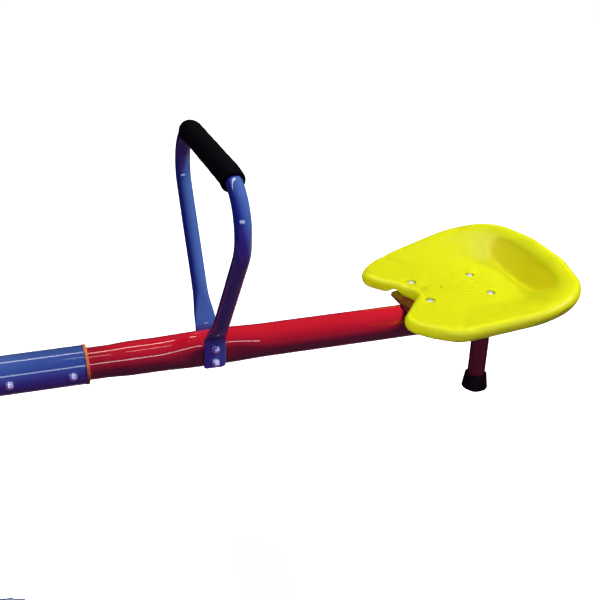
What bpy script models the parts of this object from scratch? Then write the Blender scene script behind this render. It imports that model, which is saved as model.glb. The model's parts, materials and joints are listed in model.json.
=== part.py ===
"""Spinning seesaw for two children.

A long beam rocks on a cross bolt in a yoke, and the yoke turns on a spindle in the post of a
low base with four legs. Metres, +Z up, the beam along X, the origin on the floor under the post.
"""

import math

import bmesh
import bpy
from mathutils import Matrix, Vector

# Clearances
TOUCH_GAP = 0.0003
HOLE_CLEARANCE = 0.0004
RUNNING_CLEARANCE = 0.0003

# Heights above the floor
BEAM_AXIS_HEIGHT = 0.480
POST_BOTTOM_HEIGHT = 0.040
SOCKET_HEIGHT = 0.088

# Centre tube of the beam
CENTRE_TUBE_DIAMETER = 0.0545
CENTRE_TUBE_WALL = 0.002
CENTRE_TUBE_LENGTH = 0.440
SLEEVE_BOLT_INSET = 0.019
SLEEVE_BOLT_SPACING = 0.085

# Arm tubes, which are swaged thinner where they enter the centre tube
ARM_DIAMETER = 0.0486
ARM_WALL = 0.0015
ARM_SWAGED_DIAMETER = 0.0454
ARM_INSERTION = 0.128
ARM_SWAGE_START = 0.031
ARM_SWAGE_LENGTH = 0.035
ARM_BEYOND_HANDLE = 0.4542
ARM_PRESSED_THICKNESS = 0.042
ARM_PRESSED_LENGTH = 0.040
ARM_PRESSED_BLEND = 0.062

# Plastic collar that lines the centre tube round the arm
COLLAR_FLANGE_DIAMETER = 0.0562
COLLAR_FLANGE_WIDTH = 0.0046
COLLAR_CHAMFER = 0.0008
COLLAR_LINER_LENGTH = 0.114

# Handle: one tube bent to an arch, its two ends pressed flat into straps
HANDLE_DISTANCE = 0.1818
HANDLE_TUBE_DIAMETER = 0.022
HANDLE_TUBE_WALL = 0.0015
HANDLE_HEIGHT = 0.289
HANDLE_LEAN = math.radians(32.9)
HANDLE_ELBOW_HEIGHT = 0.055
HANDLE_ELBOW_REACH = 0.050
HANDLE_TOP_BEND = 0.061
HANDLE_ELBOW_BEND = 0.090
STRAP_THICKNESS = 0.005
STRAP_BELOW_AXIS = 0.020
STRAP_ABOVE_AXIS = 0.025
STRAP_CORNER = 0.003
STRAP_BEND = 0.014
STRAP_FLARE = 0.055
HANDLE_BOLT_SPACING = 0.0224

# Foam grip
GRIP_LENGTH = 0.220
GRIP_DIAMETER = 0.0325
GRIP_END_SHARE = 0.85

# Seat moulding. X is measured from the middle of the bolt pattern, heights from the beam axis
SEAT_BOLTS_FROM_ARM_END = 0.0824
SEAT_BOLT_SPACING_X = 0.0973
SEAT_BOLT_SPACING_Y = 0.064
SEAT_PAN_HEIGHT = 0.047
SEAT_WALL = 0.0035
SEAT_SKIRT = 0.019
SEAT_NOTCH_SKIRT = 0.0125
SEAT_EDGE_RADIUS = 0.0095
SEAT_FRONT_LIP = 0.0006
SEAT_RIM_SLOPE = 0.206
SEAT_RIM_SLOPE_START = -0.052
SEAT_LEVEL_SHARE = 0.45
SEAT_MIDDLE_X = 0.040
SEAT_NOTCH_APEX_X = -0.0506
SEAT_NOTCH_RADIUS = 0.020
SEAT_LOBE_X = -0.1157
SEAT_LOBE_Y = 0.0728
SEAT_LOBE_RADIUS = 0.024
SEAT_SHOULDER_X = -0.0719
SEAT_SHOULDER_Y = 0.1348
SEAT_SHOULDER_RADIUS = 0.132
SEAT_HIP_X = 0.0664
SEAT_HIP_Y = 0.1576
SEAT_HIP_RADIUS = 0.1276
SEAT_REAR_CORNER_X = 0.1392
SEAT_REAR_CORNER_Y = 0.1397
SEAT_REAR_CORNER_RADIUS = 0.077
SEAT_REAR_X = 0.1618
SEAT_REAR_Y = 0.0421
SEAT_REAR_RADIUS = 0.157
SEAT_POCKET_START_X = 0.100
SEAT_POCKET_END_X = 0.148
SEAT_POCKET_HALF_WIDTH = 0.078
SEAT_POCKET_DEPTH = 0.008
SEAT_POCKET_EDGE = 0.012
SEAT_BOSS_DIAMETER = 0.020
SEAT_RIB_WIDTH = 0.003
SEAT_RIB_LIFT = 0.001
SEAT_BOLT_RECESS = 0.003
SEAT_BOLT_RECESS_DIAMETER = 0.0165
DRAIN_DIAMETER = 0.004
DRAIN_PITCH = 0.0268

# Steel plate under the seat, welded on the arm
SEAT_PLATE_THICKNESS = 0.004
SEAT_PLATE_LENGTH = 0.156
SEAT_PLATE_WIDTH = 0.090
SEAT_PLATE_CORNER = 0.010

# Bumper leg under the seat, and its rubber foot
BUMPER_FROM_ARM_END = 0.0208
BUMPER_DIAMETER = 0.027
BUMPER_WALL = 0.0015
BUMPER_REACH = 0.1425
BUMPER_FOOT_HEIGHT = 0.0315
BUMPER_FOOT_TOP_DIAMETER = 0.034
BUMPER_FOOT_DIAMETER = 0.040
BUMPER_FOOT_SOLE = 0.008
BUMPER_FOOT_EDGE = 0.008
BUMPER_FOOT_TOP_EDGE = 0.002

# Plug in the arm's outer end
PLUG_RIM = 0.003
PLUG_DEPTH = 0.018
PLUG_WALL = 0.002
PLUG_CHAMFER = 0.001

# Rocking pivot
BARREL_DIAMETER = 0.030
BARREL_WALL = 0.0045
BARREL_OVERHANG = 0.002
PIVOT_BUSH_FLANGE = 0.0018
PIVOT_BUSH_LENGTH = 0.018
PIVOT_BOLT_DIAMETER = 0.012
PIVOT_HEAD_DIAMETER = 0.022
PIVOT_HEAD_HEIGHT = 0.0075
PIVOT_NUT_HEIGHT = 0.012
PIVOT_THREAD_END = 0.003

# Yoke and its spindle
YOKE_SIDE_CLEARANCE = 0.0004
YOKE_EAR_THICKNESS = 0.005
YOKE_EAR_RADIUS = 0.023
YOKE_WIDTH = 0.060
YOKE_DROP = 0.052
YOKE_PLATE_THICKNESS = 0.006
SPINDLE_DIAMETER = 0.040
SPINDLE_WALL = 0.004
SPINDLE_PLUG_LENGTH = 0.022
THRUST_WASHER_DIAMETER = 0.066
THRUST_WASHER_THICKNESS = 0.002
RETAINING_BOLT_DIAMETER = 0.012
RETAINING_HEAD_DIAMETER = 0.020
RETAINING_HEAD_HEIGHT = 0.007
RETAINING_WASHER_DIAMETER = 0.050
RETAINING_WASHER_THICKNESS = 0.0035
RETAINING_BOLT_ENGAGEMENT = 0.018

# Post and its two bushes
POST_DIAMETER = 0.060
POST_WALL = 0.003
POST_BUSH_LENGTH = 0.022
POST_BUSH_FLANGE_DIAMETER = 0.066
POST_BUSH_FLANGE_THICKNESS = 0.004
LOWER_BUSH_HEIGHT = 0.071

# Legs of the base
LEG_COUNT = 4
BASE_TURN = math.radians(80.0)
LEG_DIAMETER = 0.032
LEG_WALL = 0.0015
LEG_SLOPE = math.radians(6.0)
LEG_BEND = 0.030
LEG_REACH = 0.335
SOCKET_DIAMETER = 0.038
SOCKET_REACH = 0.106
LEG_INNER_REACH = 0.036
LEG_BOLT_REACH = 0.084
FOOT_DIAMETER = 0.042
FOOT_TOP_DIAMETER = 0.037
FOOT_HEIGHT = 0.022
FOOT_SOLE = 0.006
FOOT_EDGE = 0.0025

# Dome-headed bolts
SMALL_BOLT_DIAMETER = 0.006
SMALL_HEAD_DIAMETER = 0.0125
SMALL_HEAD_HEIGHT = 0.0036
SEAT_HEAD_HEIGHT = 0.0026
LEG_BOLT_DIAMETER = 0.008
LEG_HEAD_DIAMETER = 0.016
LEG_HEAD_HEIGHT = 0.0045
NUT_ALLOWANCE = 0.008

# Facets
TUBE_SIDES = 12
ARM_SIDES = 16
CENTRE_SIDES = 20
TURNED_SIDES = 16
BOLT_SIDES = 8
DRAIN_SIDES = 6
HEXAGON_SIDES = 6
ARC_STEP = math.radians(31.0)
SEAT_LONGEST_SIDE = 0.042
SEAT_SHORTEST_SIDE = 0.007
SHARP_ANGLE = math.radians(35.0)


def around(radius, sides):
    """The corner radius of a faceted bore whose flats clear a circle."""
    return radius / math.cos(math.pi / sides)


def flats(radius, sides):
    """The radius to the flats of a faceted round whose corners lie on a circle."""
    return radius * math.cos(math.pi / sides)


# Worked out from the sizes above
HANDLE_X = CENTRE_TUBE_LENGTH / 2 + HANDLE_DISTANCE
ARM_END_X = HANDLE_X + ARM_BEYOND_HANDLE
SEAT_X = ARM_END_X - SEAT_BOLTS_FROM_ARM_END
BUMPER_X = ARM_END_X - BUMPER_FROM_ARM_END
ARM_SIDE_Y = flats(ARM_PRESSED_THICKNESS / 2, ARM_SIDES)
STRAP_CENTRE_Y = ARM_SIDE_Y + TOUCH_GAP + flats(STRAP_THICKNESS / 2, TUBE_SIDES)
STRAP_FACE_Y = STRAP_CENTRE_Y + flats(STRAP_THICKNESS / 2, TUBE_SIDES)
CENTRE_TUBE_BORE = flats(CENTRE_TUBE_DIAMETER / 2 - CENTRE_TUBE_WALL, CENTRE_SIDES)
CENTRE_TUBE_FACE = flats(CENTRE_TUBE_DIAMETER / 2, CENTRE_SIDES)
SEAT_PLATE_BOTTOM = flats(ARM_DIAMETER / 2, ARM_SIDES) + TOUCH_GAP
SEAT_PLATE_TOP = SEAT_PLATE_BOTTOM + SEAT_PLATE_THICKNESS
BARREL_HALF_LENGTH = CENTRE_TUBE_DIAMETER / 2 + BARREL_OVERHANG
BUSH_FACE_Y = BARREL_HALF_LENGTH + TOUCH_GAP + PIVOT_BUSH_FLANGE
EAR_INNER_Y = BUSH_FACE_Y + YOKE_SIDE_CLEARANCE
EAR_OUTER_Y = EAR_INNER_Y + YOKE_EAR_THICKNESS
YOKE_BOTTOM = BEAM_AXIS_HEIGHT - YOKE_DROP - YOKE_PLATE_THICKNESS
WASHER_TOP = YOKE_BOTTOM - TOUCH_GAP
BUSH_TOP = WASHER_TOP - THRUST_WASHER_THICKNESS - TOUCH_GAP
POST_TOP = BUSH_TOP - POST_BUSH_FLANGE_THICKNESS - TOUCH_GAP
POST_BORE = POST_DIAMETER / 2 - POST_WALL
SOCKET_BORE = LEG_DIAMETER / 2 + HOLE_CLEARANCE
SOCKET_FACE = flats(SOCKET_DIAMETER / 2, TUBE_SIDES)


def smoothstep(value):
    """Rises smoothly from 0 to 1 as value does."""
    t = min(1.0, max(0.0, value))
    return t * t * (3.0 - 2.0 * t)


def material(name, colour, roughness, metallic=0.0):
    """A Principled material."""
    made = bpy.data.materials.new(name)
    made.use_nodes = True
    shader = made.node_tree.nodes["Principled BSDF"]
    shader.inputs["Base Color"].default_value = (*colour, 1.0)
    shader.inputs["Roughness"].default_value = roughness
    shader.inputs["Metallic"].default_value = metallic
    return made


def mesh_object(name, points, faces):
    """A smooth shaded object with its faces pointing out."""
    mesh = bpy.data.meshes.new(name)
    mesh.from_pydata([tuple(point) for point in points], [], faces)
    work = bmesh.new()
    work.from_mesh(mesh)
    bmesh.ops.recalc_face_normals(work, faces=work.faces)
    if work.calc_volume(signed=True) < 0.0:
        bmesh.ops.reverse_faces(work, faces=work.faces)
    work.to_mesh(mesh)
    work.free()
    made = bpy.data.objects.new(name, mesh)
    bpy.context.scene.collection.objects.link(made)
    return made


def bridge(lower, upper, flip=False):
    """Quads between two rings of point numbers."""
    count = len(lower)
    quads = []
    for i in range(count):
        j = (i + 1) % count
        quad = (lower[i], lower[j], upper[j], upper[i])
        quads.append(quad[::-1] if flip else quad)
    return quads


def turned(name, profile, sides=TURNED_SIDES, phase=0.0):
    """Turns a closed profile of (radius, height) about Z. Points on the axis become single points."""
    points = []
    rings = []
    for radius, height in profile:
        start = len(points)
        if radius < 1e-7:
            points.append((0.0, 0.0, height))
            rings.append([start])
            continue
        for i in range(sides):
            angle = 2 * math.pi * (i + phase) / sides
            points.append((radius * math.cos(angle), radius * math.sin(angle), height))
        rings.append(list(range(start, start + sides)))
    faces = []
    for lower, upper in zip(rings, rings[1:] + rings[:1]):
        if len(lower) == 1 and len(upper) == 1:
            continue
        if len(lower) == 1 or len(upper) == 1:
            tip = lower[0] if len(lower) == 1 else upper[0]
            ring = upper if len(lower) == 1 else lower
            faces += [(ring[i], ring[(i + 1) % sides], tip) for i in range(sides)]
            continue
        faces += bridge(lower, upper)
    return mesh_object(name, points, faces)


def tube_ring(half_thickness, half_width, sides):
    """A round tube's section, or one pressed flat: two half circles joined by straight sides."""
    ring = []
    for i in range(sides):
        angle = 2 * math.pi * (i + 0.5) / sides
        stretch = math.copysign(half_width - half_thickness, math.cos(angle))
        ring.append((stretch + half_thickness * math.cos(angle), half_thickness * math.sin(angle)))
    return ring


def pressed_half_width(radius, half_thickness):
    """Half the width of a round tube pressed to a thickness, with its perimeter kept."""
    return half_thickness + math.pi / 2 * (radius - half_thickness)


def hollow(name, outer, inner):
    """A hollow run between matching outer and inner rings of points, its ends closed."""
    count = len(outer[0])
    points = [point for ring in outer + inner for point in ring]
    rings = [list(range(start, start + count)) for start in range(0, len(points), count)]
    outside = rings[:len(outer)]
    inside = rings[len(outer):]
    faces = []
    for lower, upper in zip(outside, outside[1:]):
        faces += bridge(lower, upper)
    for lower, upper in zip(inside, inside[1:]):
        faces += bridge(lower, upper, flip=True)
    faces += bridge(outside[0], inside[0], flip=True)
    faces += bridge(outside[-1], inside[-1])
    return mesh_object(name, points, faces)


def placed_ring(centre, wide, thin, half_thickness, half_width, sides):
    """A tube's section about a centre, its width and thickness along two axes."""
    section = tube_ring(half_thickness, half_width, sides)
    return [centre + wide * across + thin * through for across, through in section]


def swept_tube(name, stations, wall, sides):
    """A hollow tube through stations.

    A station is its centre, its wide and thin axes, the round tube's radius, half its thickness
    once pressed, and how much its half width is narrowed.
    """
    outer = []
    inner = []
    for centre, wide, thin, radius, half_thickness, narrowing in stations:
        half_width = pressed_half_width(radius, half_thickness) - narrowing
        outer.append(placed_ring(centre, wide, thin, half_thickness, half_width, sides))
        inner.append(placed_ring(centre, wide, thin, half_thickness - wall, half_width - wall, sides))
    return hollow(name, outer, inner)


def fillet_path(corners):
    """Points along corners of (x, y, bend radius), each corner rounded with an arc."""
    path = [Vector(corners[0][:2])]
    for before, corner, after in zip(corners, corners[1:], corners[2:]):
        path += corner_arc(before, corner, after, ARC_STEP)
    path.append(Vector(corners[-1][:2]))
    return path


def corner_run(before, corner, after):
    """How far the arc that rounds a corner reaches along both its sides, for each metre of radius."""
    middle = Vector(corner[:2])
    turn = math.pi - (Vector(before[:2]) - middle).angle(Vector(after[:2]) - middle)
    return math.tan(turn / 2)


def corner_arc(before, corner, after, step):
    """The arc that rounds one corner."""
    middle = Vector(corner[:2])
    back = (Vector(before[:2]) - middle).normalized()
    ahead = (Vector(after[:2]) - middle).normalized()
    turn = math.pi - back.angle(ahead)
    radius = corner[2]
    run = radius * corner_run(before, corner, after)
    centre = middle + (back + ahead).normalized() * radius / math.cos(turn / 2)
    start = middle + back * run - centre
    side = 1.0 if (-back).cross(ahead) > 0 else -1.0
    count = max(1, math.ceil(turn / step))
    return [centre + start @ Matrix.Rotation(-side * turn * i / count, 2) for i in range(count + 1)]


def fitted_corners(corners):
    """Eases the radii of two neighbouring corners whose arcs would overlap on the side between them."""
    around_it = list(zip(corners[-1:] + corners, corners, corners[1:] + corners[:1]))
    runs = [corner[2] * corner_run(before, corner, after) for before, corner, after in around_it]
    shares = []
    for i, (before, corner, after) in enumerate(around_it):
        room_before = (Vector(corner[:2]) - Vector(before[:2])).length / (runs[i - 1] + runs[i])
        room_after = (Vector(after[:2]) - Vector(corner[:2])).length / (runs[i] + runs[(i + 1) % len(runs)])
        shares.append(min(1.0, room_before, room_after))
    return [(x, y, radius * share) for (x, y, radius), share in zip(corners, shares)]


def closed_outline(corners, longest=1.0, shortest=0.0):
    """A closed outline with rounded corners, its long sides divided and its short ones left out."""
    count = len(corners)
    corners = fitted_corners(corners)
    points = []
    for i, corner in enumerate(corners):
        points += corner_arc(corners[i - 1], corner, corners[(i + 1) % count], ARC_STEP)
    sides = zip(points[-1:] + points, points)
    outline = [there for here, there in sides if (there - here).length >= shortest]
    divided = []
    for here, there in zip(outline, outline[1:] + outline[:1]):
        pieces = max(1, math.ceil((there - here).length / longest))
        divided += [here.lerp(there, i / pieces) for i in range(pieces)]
    return divided


def extruded(name, outline, low, high):
    """A flat outline in XY given a thickness from low to high."""
    count = len(outline)
    points = [(x, y, low) for x, y in outline] + [(x, y, high) for x, y in outline]
    faces = [tuple(range(count)), tuple(range(count, 2 * count))]
    faces += bridge(list(range(count)), list(range(count, 2 * count)))
    return mesh_object(name, points, faces)


def rectangle(x0, x1, y0, y1):
    """The corners of a rectangle."""
    return [(x0, y0), (x1, y0), (x1, y1), (x0, y1)]


def rod(radius, low, high, axis, at=(0, 0, 0), sides=TUBE_SIDES, phase=0.0):
    """A plain round bar along axis from low to high, measured from the point at."""
    made = turned("rod", [(0, low), (radius, low), (radius, high), (0, high)], sides, phase)
    made.data.transform(along(axis, at))
    return made


def drill(diameter, reach, axis, at=(0, 0, 0), sides=BOLT_SIDES):
    """A cutter for a bolt's clearance hole, reaching both ways from the point at."""
    radius = around(diameter / 2 + HOLE_CLEARANCE, sides)
    return rod(radius, -reach, reach, axis, at, sides)


def apply_boolean(target, tools, operation):
    """Cuts tools from the target, or joins them to it, and keeps the result as its mesh."""
    for tool in tools:
        modifier = target.modifiers.new("boolean", "BOOLEAN")
        modifier.operation = operation
        modifier.solver = "EXACT"
        modifier.object = tool
    bpy.context.view_layer.update()
    shape = target.evaluated_get(bpy.context.evaluated_depsgraph_get())
    result = bpy.data.meshes.new_from_object(shape)
    old = target.data
    target.modifiers.clear()
    target.data = result
    bpy.data.meshes.remove(old)
    for tool in tools:
        mesh = tool.data
        bpy.data.objects.remove(tool)
        bpy.data.meshes.remove(mesh)
    return target


def cut(target, *tools):
    return apply_boolean(target, tools, "DIFFERENCE")


def join(target, *tools):
    return apply_boolean(target, tools, "UNION")


def finish(made, look, parent, place=Matrix()):
    """Sets a piece's shape in its parent's frame, its material and its smooth shading."""
    made.data.transform(place)
    made.data.materials.clear()
    made.data.materials.append(look)
    made.data.shade_smooth()
    made.data.set_sharp_from_angle(angle=SHARP_ANGLE)
    made.parent = parent
    return made


def repeat(made, name, parent):
    """A second object that shares the first one's mesh."""
    copy = bpy.data.objects.new(name, made.data)
    bpy.context.scene.collection.objects.link(copy)
    copy.parent = parent
    return copy


def empty(name, at, parent=None, turn=0.0):
    """A guide that carries pieces, turned about Z."""
    made = bpy.data.objects.new(name, None)
    made.location = at
    made.rotation_euler = (0.0, 0.0, turn)
    made.parent = parent
    bpy.context.scene.collection.objects.link(made)
    return made


def along(axis, at=(0.0, 0.0, 0.0)):
    """Turns the Z axis on to an axis and moves the origin to a point."""
    turn = Vector((0, 0, 1)).rotation_difference(Vector(axis)).to_matrix().to_4x4()
    return Matrix.Translation(Vector(at)) @ turn


def dome_bolt(name, shank, head, height, reach):
    """A dome-headed bolt: the head's flat underside at Z 0, the shank down to -reach."""
    profile = [
        (0.0, height),
        (0.33 * head, 0.70 * height),
        (0.50 * head, 0.0),
        (0.50 * shank, 0.0),
        (0.50 * shank, -reach),
        (0.0, -reach),
    ]
    return turned(name, profile, BOLT_SIDES)


def hex_bolt(name, shank, head, height, reach):
    """A hexagon-headed bolt along Z, its head above Z 0."""
    made = turned(name, [(0, height), (head / 2, height), (head / 2, 0), (0, 0)], HEXAGON_SIDES)
    stem = rod(shank / 2, -reach, height / 2, (0, 0, 1))
    return join(made, stem)


# Base


def make_post():
    """Post with four sockets welded round its foot."""
    post = turned(
        "hub_post",
        [
            (POST_DIAMETER / 2 - POST_WALL / 2, POST_BOTTOM_HEIGHT),
            (POST_DIAMETER / 2, POST_BOTTOM_HEIGHT),
            (POST_DIAMETER / 2, POST_TOP),
            (POST_DIAMETER / 2 - POST_WALL / 2, POST_TOP),
        ],
        CENTRE_SIDES,
    )
    sockets = []
    main_bore = rod(POST_BORE, 0.0, BEAM_AXIS_HEIGHT, (0, 0, 1), sides=CENTRE_SIDES)
    cutters = [main_bore]
    outward, up, middle = leg_directions()
    wall_middle = POST_DIAMETER / 2 - POST_WALL / 2
    bore_start = POST_DIAMETER / 2 + TOUCH_GAP
    bore = around(SOCKET_BORE, TUBE_SIDES)
    for number in range(LEG_COUNT):
        turn = Matrix.Rotation(leg_angle(number), 4, "Z")
        socket = rod(SOCKET_DIAMETER / 2, wall_middle, SOCKET_REACH, outward, middle, TUBE_SIDES, 0.5)
        socket.data.transform(turn)
        sockets.append(socket)
        tools = [
            rod(bore, bore_start, 2 * SOCKET_REACH, outward, middle, TUBE_SIDES, 0.5),
            drill(LEG_BOLT_DIAMETER, SOCKET_DIAMETER, up, middle + outward * LEG_BOLT_REACH),
        ]
        for tool in tools:
            tool.data.transform(turn)
        cutters += tools
    join(post, *sockets)
    return cut(post, *cutters)


def leg_angle(number):
    """The direction of a leg from above."""
    return BASE_TURN + 2 * math.pi * number / LEG_COUNT


def leg_directions():
    """A leg's outward and upward directions and where its line meets the post's axis, all in XZ."""
    outward = Vector((math.cos(LEG_SLOPE), 0, -math.sin(LEG_SLOPE)))
    up = Vector((math.sin(LEG_SLOPE), 0, math.cos(LEG_SLOPE)))
    return outward, up, Vector((0, 0, SOCKET_HEIGHT))


def make_leg():
    """A leg in its own XZ plane: out of the socket, down a slight slope, then bent down to the floor."""
    drop = math.tan(LEG_SLOPE)
    path = fillet_path(
        [
            (LEG_INNER_REACH, SOCKET_HEIGHT - LEG_INNER_REACH * drop, 0),
            (LEG_REACH, SOCKET_HEIGHT - LEG_REACH * drop, LEG_BEND),
            (LEG_REACH, FOOT_SOLE + TOUCH_GAP, 0),
        ]
    )
    leg = swept_tube("leg", level_stations(path, LEG_DIAMETER / 2), LEG_WALL, TUBE_SIDES)
    outward, up, middle = leg_directions()
    return cut(leg, drill(LEG_BOLT_DIAMETER, SOCKET_DIAMETER, up, middle + outward * LEG_BOLT_REACH))


def headings(path):
    """The direction of a path at each of its points."""
    steps = [(there - here).normalized() for here, there in zip(path, path[1:])]
    return [(before + after).normalized() for before, after in zip(steps[:1] + steps, steps + steps[-1:])]


def level_stations(path, radius):
    """Stations of a round tube along a path in the XZ plane."""
    stations = []
    for point, ahead in zip(path, headings(path)):
        across = Vector((-ahead.y, 0, ahead.x))
        stations.append((Vector((point.x, 0, point.y)), Vector((0, 1, 0)), across, radius, radius, 0.0))
    return stations


def make_foot():
    """Rubber cup on the end of a leg, its flat sole on the floor."""
    bore = around(LEG_DIAMETER / 2 + TOUCH_GAP, TURNED_SIDES)
    return turned(
        "foot",
        [
            (0.0, 0.0),
            (FOOT_DIAMETER / 2 - FOOT_EDGE, 0.0),
            (FOOT_DIAMETER / 2, FOOT_EDGE),
            (FOOT_TOP_DIAMETER / 2, FOOT_HEIGHT),
            (bore, FOOT_HEIGHT),
            (bore, FOOT_SOLE),
            (0.0, FOOT_SOLE),
        ],
    )


def make_base(looks):
    post = finish(make_post(), looks["blue"], None)
    outer = flats(POST_BORE, CENTRE_SIDES) - TOUCH_GAP
    inner = around(SPINDLE_DIAMETER / 2 + RUNNING_CLEARANCE, CENTRE_SIDES)
    upper = turned(
        "upper_bush",
        [
            (inner, BUSH_TOP),
            (POST_BUSH_FLANGE_DIAMETER / 2, BUSH_TOP),
            (POST_BUSH_FLANGE_DIAMETER / 2, POST_TOP + TOUCH_GAP),
            (outer, POST_TOP + TOUCH_GAP),
            (outer, POST_TOP - POST_BUSH_LENGTH),
            (inner, POST_TOP - POST_BUSH_LENGTH),
        ],
        CENTRE_SIDES,
    )
    finish(upper, looks["nylon"], None)
    lower = turned(
        "lower_bush",
        [
            (inner, LOWER_BUSH_HEIGHT),
            (outer, LOWER_BUSH_HEIGHT),
            (outer, LOWER_BUSH_HEIGHT + POST_BUSH_LENGTH),
            (inner, LOWER_BUSH_HEIGHT + POST_BUSH_LENGTH),
        ],
        CENTRE_SIDES,
    )
    finish(lower, looks["nylon"], None)

    outward, up, middle = leg_directions()
    head_seat = middle + outward * LEG_BOLT_REACH + up * (SOCKET_FACE + TOUCH_GAP)
    reach = 2 * SOCKET_FACE + NUT_ALLOWANCE
    first = {}
    for number in range(LEG_COUNT):
        guide = empty(f"leg_guide_{number + 1}", (0, 0, 0), None, leg_angle(number))
        if not first:
            first["leg"] = finish(make_leg(), looks["blue"], guide)
            at_foot = Matrix.Translation((LEG_REACH, 0, 0))
            first["foot"] = finish(make_foot(), looks["rubber"], guide, at_foot)
            bolt = dome_bolt("leg_bolt", LEG_BOLT_DIAMETER, LEG_HEAD_DIAMETER, LEG_HEAD_HEIGHT, reach)
            first["leg_bolt"] = finish(bolt, looks["zinc"], guide, along(up, head_seat))
            for kind, made in first.items():
                made.name = f"{kind}_1"
            continue
        for kind, made in first.items():
            repeat(made, f"{kind}_{number + 1}", guide)
    return post


# Turning yoke


def make_yoke():
    """Plate with two ears, the ears rounded over the pivot."""
    plate = extruded(
        "yoke",
        rectangle(-YOKE_WIDTH / 2, YOKE_WIDTH / 2, -EAR_OUTER_Y, EAR_OUTER_Y),
        -YOKE_DROP - YOKE_PLATE_THICKNESS,
        -YOKE_DROP,
    )
    ears = []
    for side in (-1, 1):
        outline = fillet_path(
            [
                (-YOKE_WIDTH / 2, -YOKE_DROP - YOKE_PLATE_THICKNESS / 2, 0),
                (-YOKE_EAR_RADIUS, YOKE_EAR_RADIUS, YOKE_EAR_RADIUS),
                (YOKE_EAR_RADIUS, YOKE_EAR_RADIUS, YOKE_EAR_RADIUS),
                (YOKE_WIDTH / 2, -YOKE_DROP - YOKE_PLATE_THICKNESS / 2, 0),
            ]
        )
        low = EAR_INNER_Y if side > 0 else -EAR_OUTER_Y
        ear = extruded("ear", outline, low, low + YOKE_EAR_THICKNESS)
        ear.data.transform(Matrix(((1, 0, 0, 0), (0, 0, 1, 0), (0, 1, 0, 0), (0, 0, 0, 1))))
        ear.data.flip_normals()
        ears.append(ear)
    join(plate, *ears)
    return cut(plate, drill(PIVOT_BOLT_DIAMETER, 2 * EAR_OUTER_Y, (0, 1, 0), sides=TUBE_SIDES))


def make_swivel(looks, pivot):
    """Everything that turns with the yoke but doesn't rock."""
    finish(make_yoke(), looks["blue"], pivot)
    floor = -BEAM_AXIS_HEIGHT
    top = YOKE_BOTTOM - TOUCH_GAP + floor
    bottom = LOWER_BUSH_HEIGHT - TOUCH_GAP + floor
    thread = around(RETAINING_BOLT_DIAMETER / 2 + HOLE_CLEARANCE, TURNED_SIDES)
    spindle = turned(
        "spindle",
        [
            (thread, bottom),
            (SPINDLE_DIAMETER / 2, bottom),
            (SPINDLE_DIAMETER / 2, top),
            (SPINDLE_DIAMETER / 2 - SPINDLE_WALL, top),
            (SPINDLE_DIAMETER / 2 - SPINDLE_WALL, bottom + SPINDLE_PLUG_LENGTH),
            (thread, bottom + SPINDLE_PLUG_LENGTH),
        ],
        CENTRE_SIDES,
    )
    finish(spindle, looks["steel"], pivot)
    washer_top = WASHER_TOP + floor
    washer_bore = around(SPINDLE_DIAMETER / 2 + TOUCH_GAP, CENTRE_SIDES)
    thrust = turned(
        "thrust_washer",
        [
            (washer_bore, washer_top),
            (THRUST_WASHER_DIAMETER / 2, washer_top),
            (THRUST_WASHER_DIAMETER / 2, washer_top - THRUST_WASHER_THICKNESS),
            (washer_bore, washer_top - THRUST_WASHER_THICKNESS),
        ],
        CENTRE_SIDES,
    )
    finish(thrust, looks["steel"], pivot)
    keeper_top = bottom - TOUCH_GAP
    keeper = turned(
        "retaining_washer",
        [
            (thread, keeper_top),
            (RETAINING_WASHER_DIAMETER / 2, keeper_top),
            (RETAINING_WASHER_DIAMETER / 2, keeper_top - RETAINING_WASHER_THICKNESS),
            (thread, keeper_top - RETAINING_WASHER_THICKNESS),
        ],
    )
    finish(keeper, looks["zinc"], pivot)
    head_face = keeper_top - RETAINING_WASHER_THICKNESS - TOUCH_GAP
    reach = RETAINING_WASHER_THICKNESS + RETAINING_BOLT_ENGAGEMENT
    keeper_bolt = hex_bolt(
        "retaining_bolt", RETAINING_BOLT_DIAMETER, RETAINING_HEAD_DIAMETER, RETAINING_HEAD_HEIGHT, reach
    )
    finish(keeper_bolt, looks["zinc"], pivot, along((0, 0, -1), (0, 0, head_face)))

    ear_face = EAR_OUTER_Y + TOUCH_GAP
    shank = 2 * ear_face + PIVOT_NUT_HEIGHT + PIVOT_THREAD_END
    bolt = hex_bolt("pivot_bolt", PIVOT_BOLT_DIAMETER, PIVOT_HEAD_DIAMETER, PIVOT_HEAD_HEIGHT, shank)
    finish(bolt, looks["zinc"], pivot, along((0, -1, 0), (0, -ear_face, 0)))
    radius = PIVOT_HEAD_DIAMETER / 2
    profile = [(0, 0), (radius, 0), (radius, PIVOT_NUT_HEIGHT), (0, PIVOT_NUT_HEIGHT)]
    nut = turned("pivot_nut", profile, HEXAGON_SIDES)
    cut(nut, drill(PIVOT_BOLT_DIAMETER, 2 * PIVOT_NUT_HEIGHT, (0, 0, 1), sides=TUBE_SIDES))
    finish(nut, looks["zinc"], pivot, along((0, 1, 0), (0, ear_face, 0)))


# Beam


def sleeve_bolt_places():
    """Distances from the middle of the beam to the bolts that hold an arm in the centre tube."""
    first = CENTRE_TUBE_LENGTH / 2 - SLEEVE_BOLT_INSET
    return (first, first - SLEEVE_BOLT_SPACING)


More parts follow.
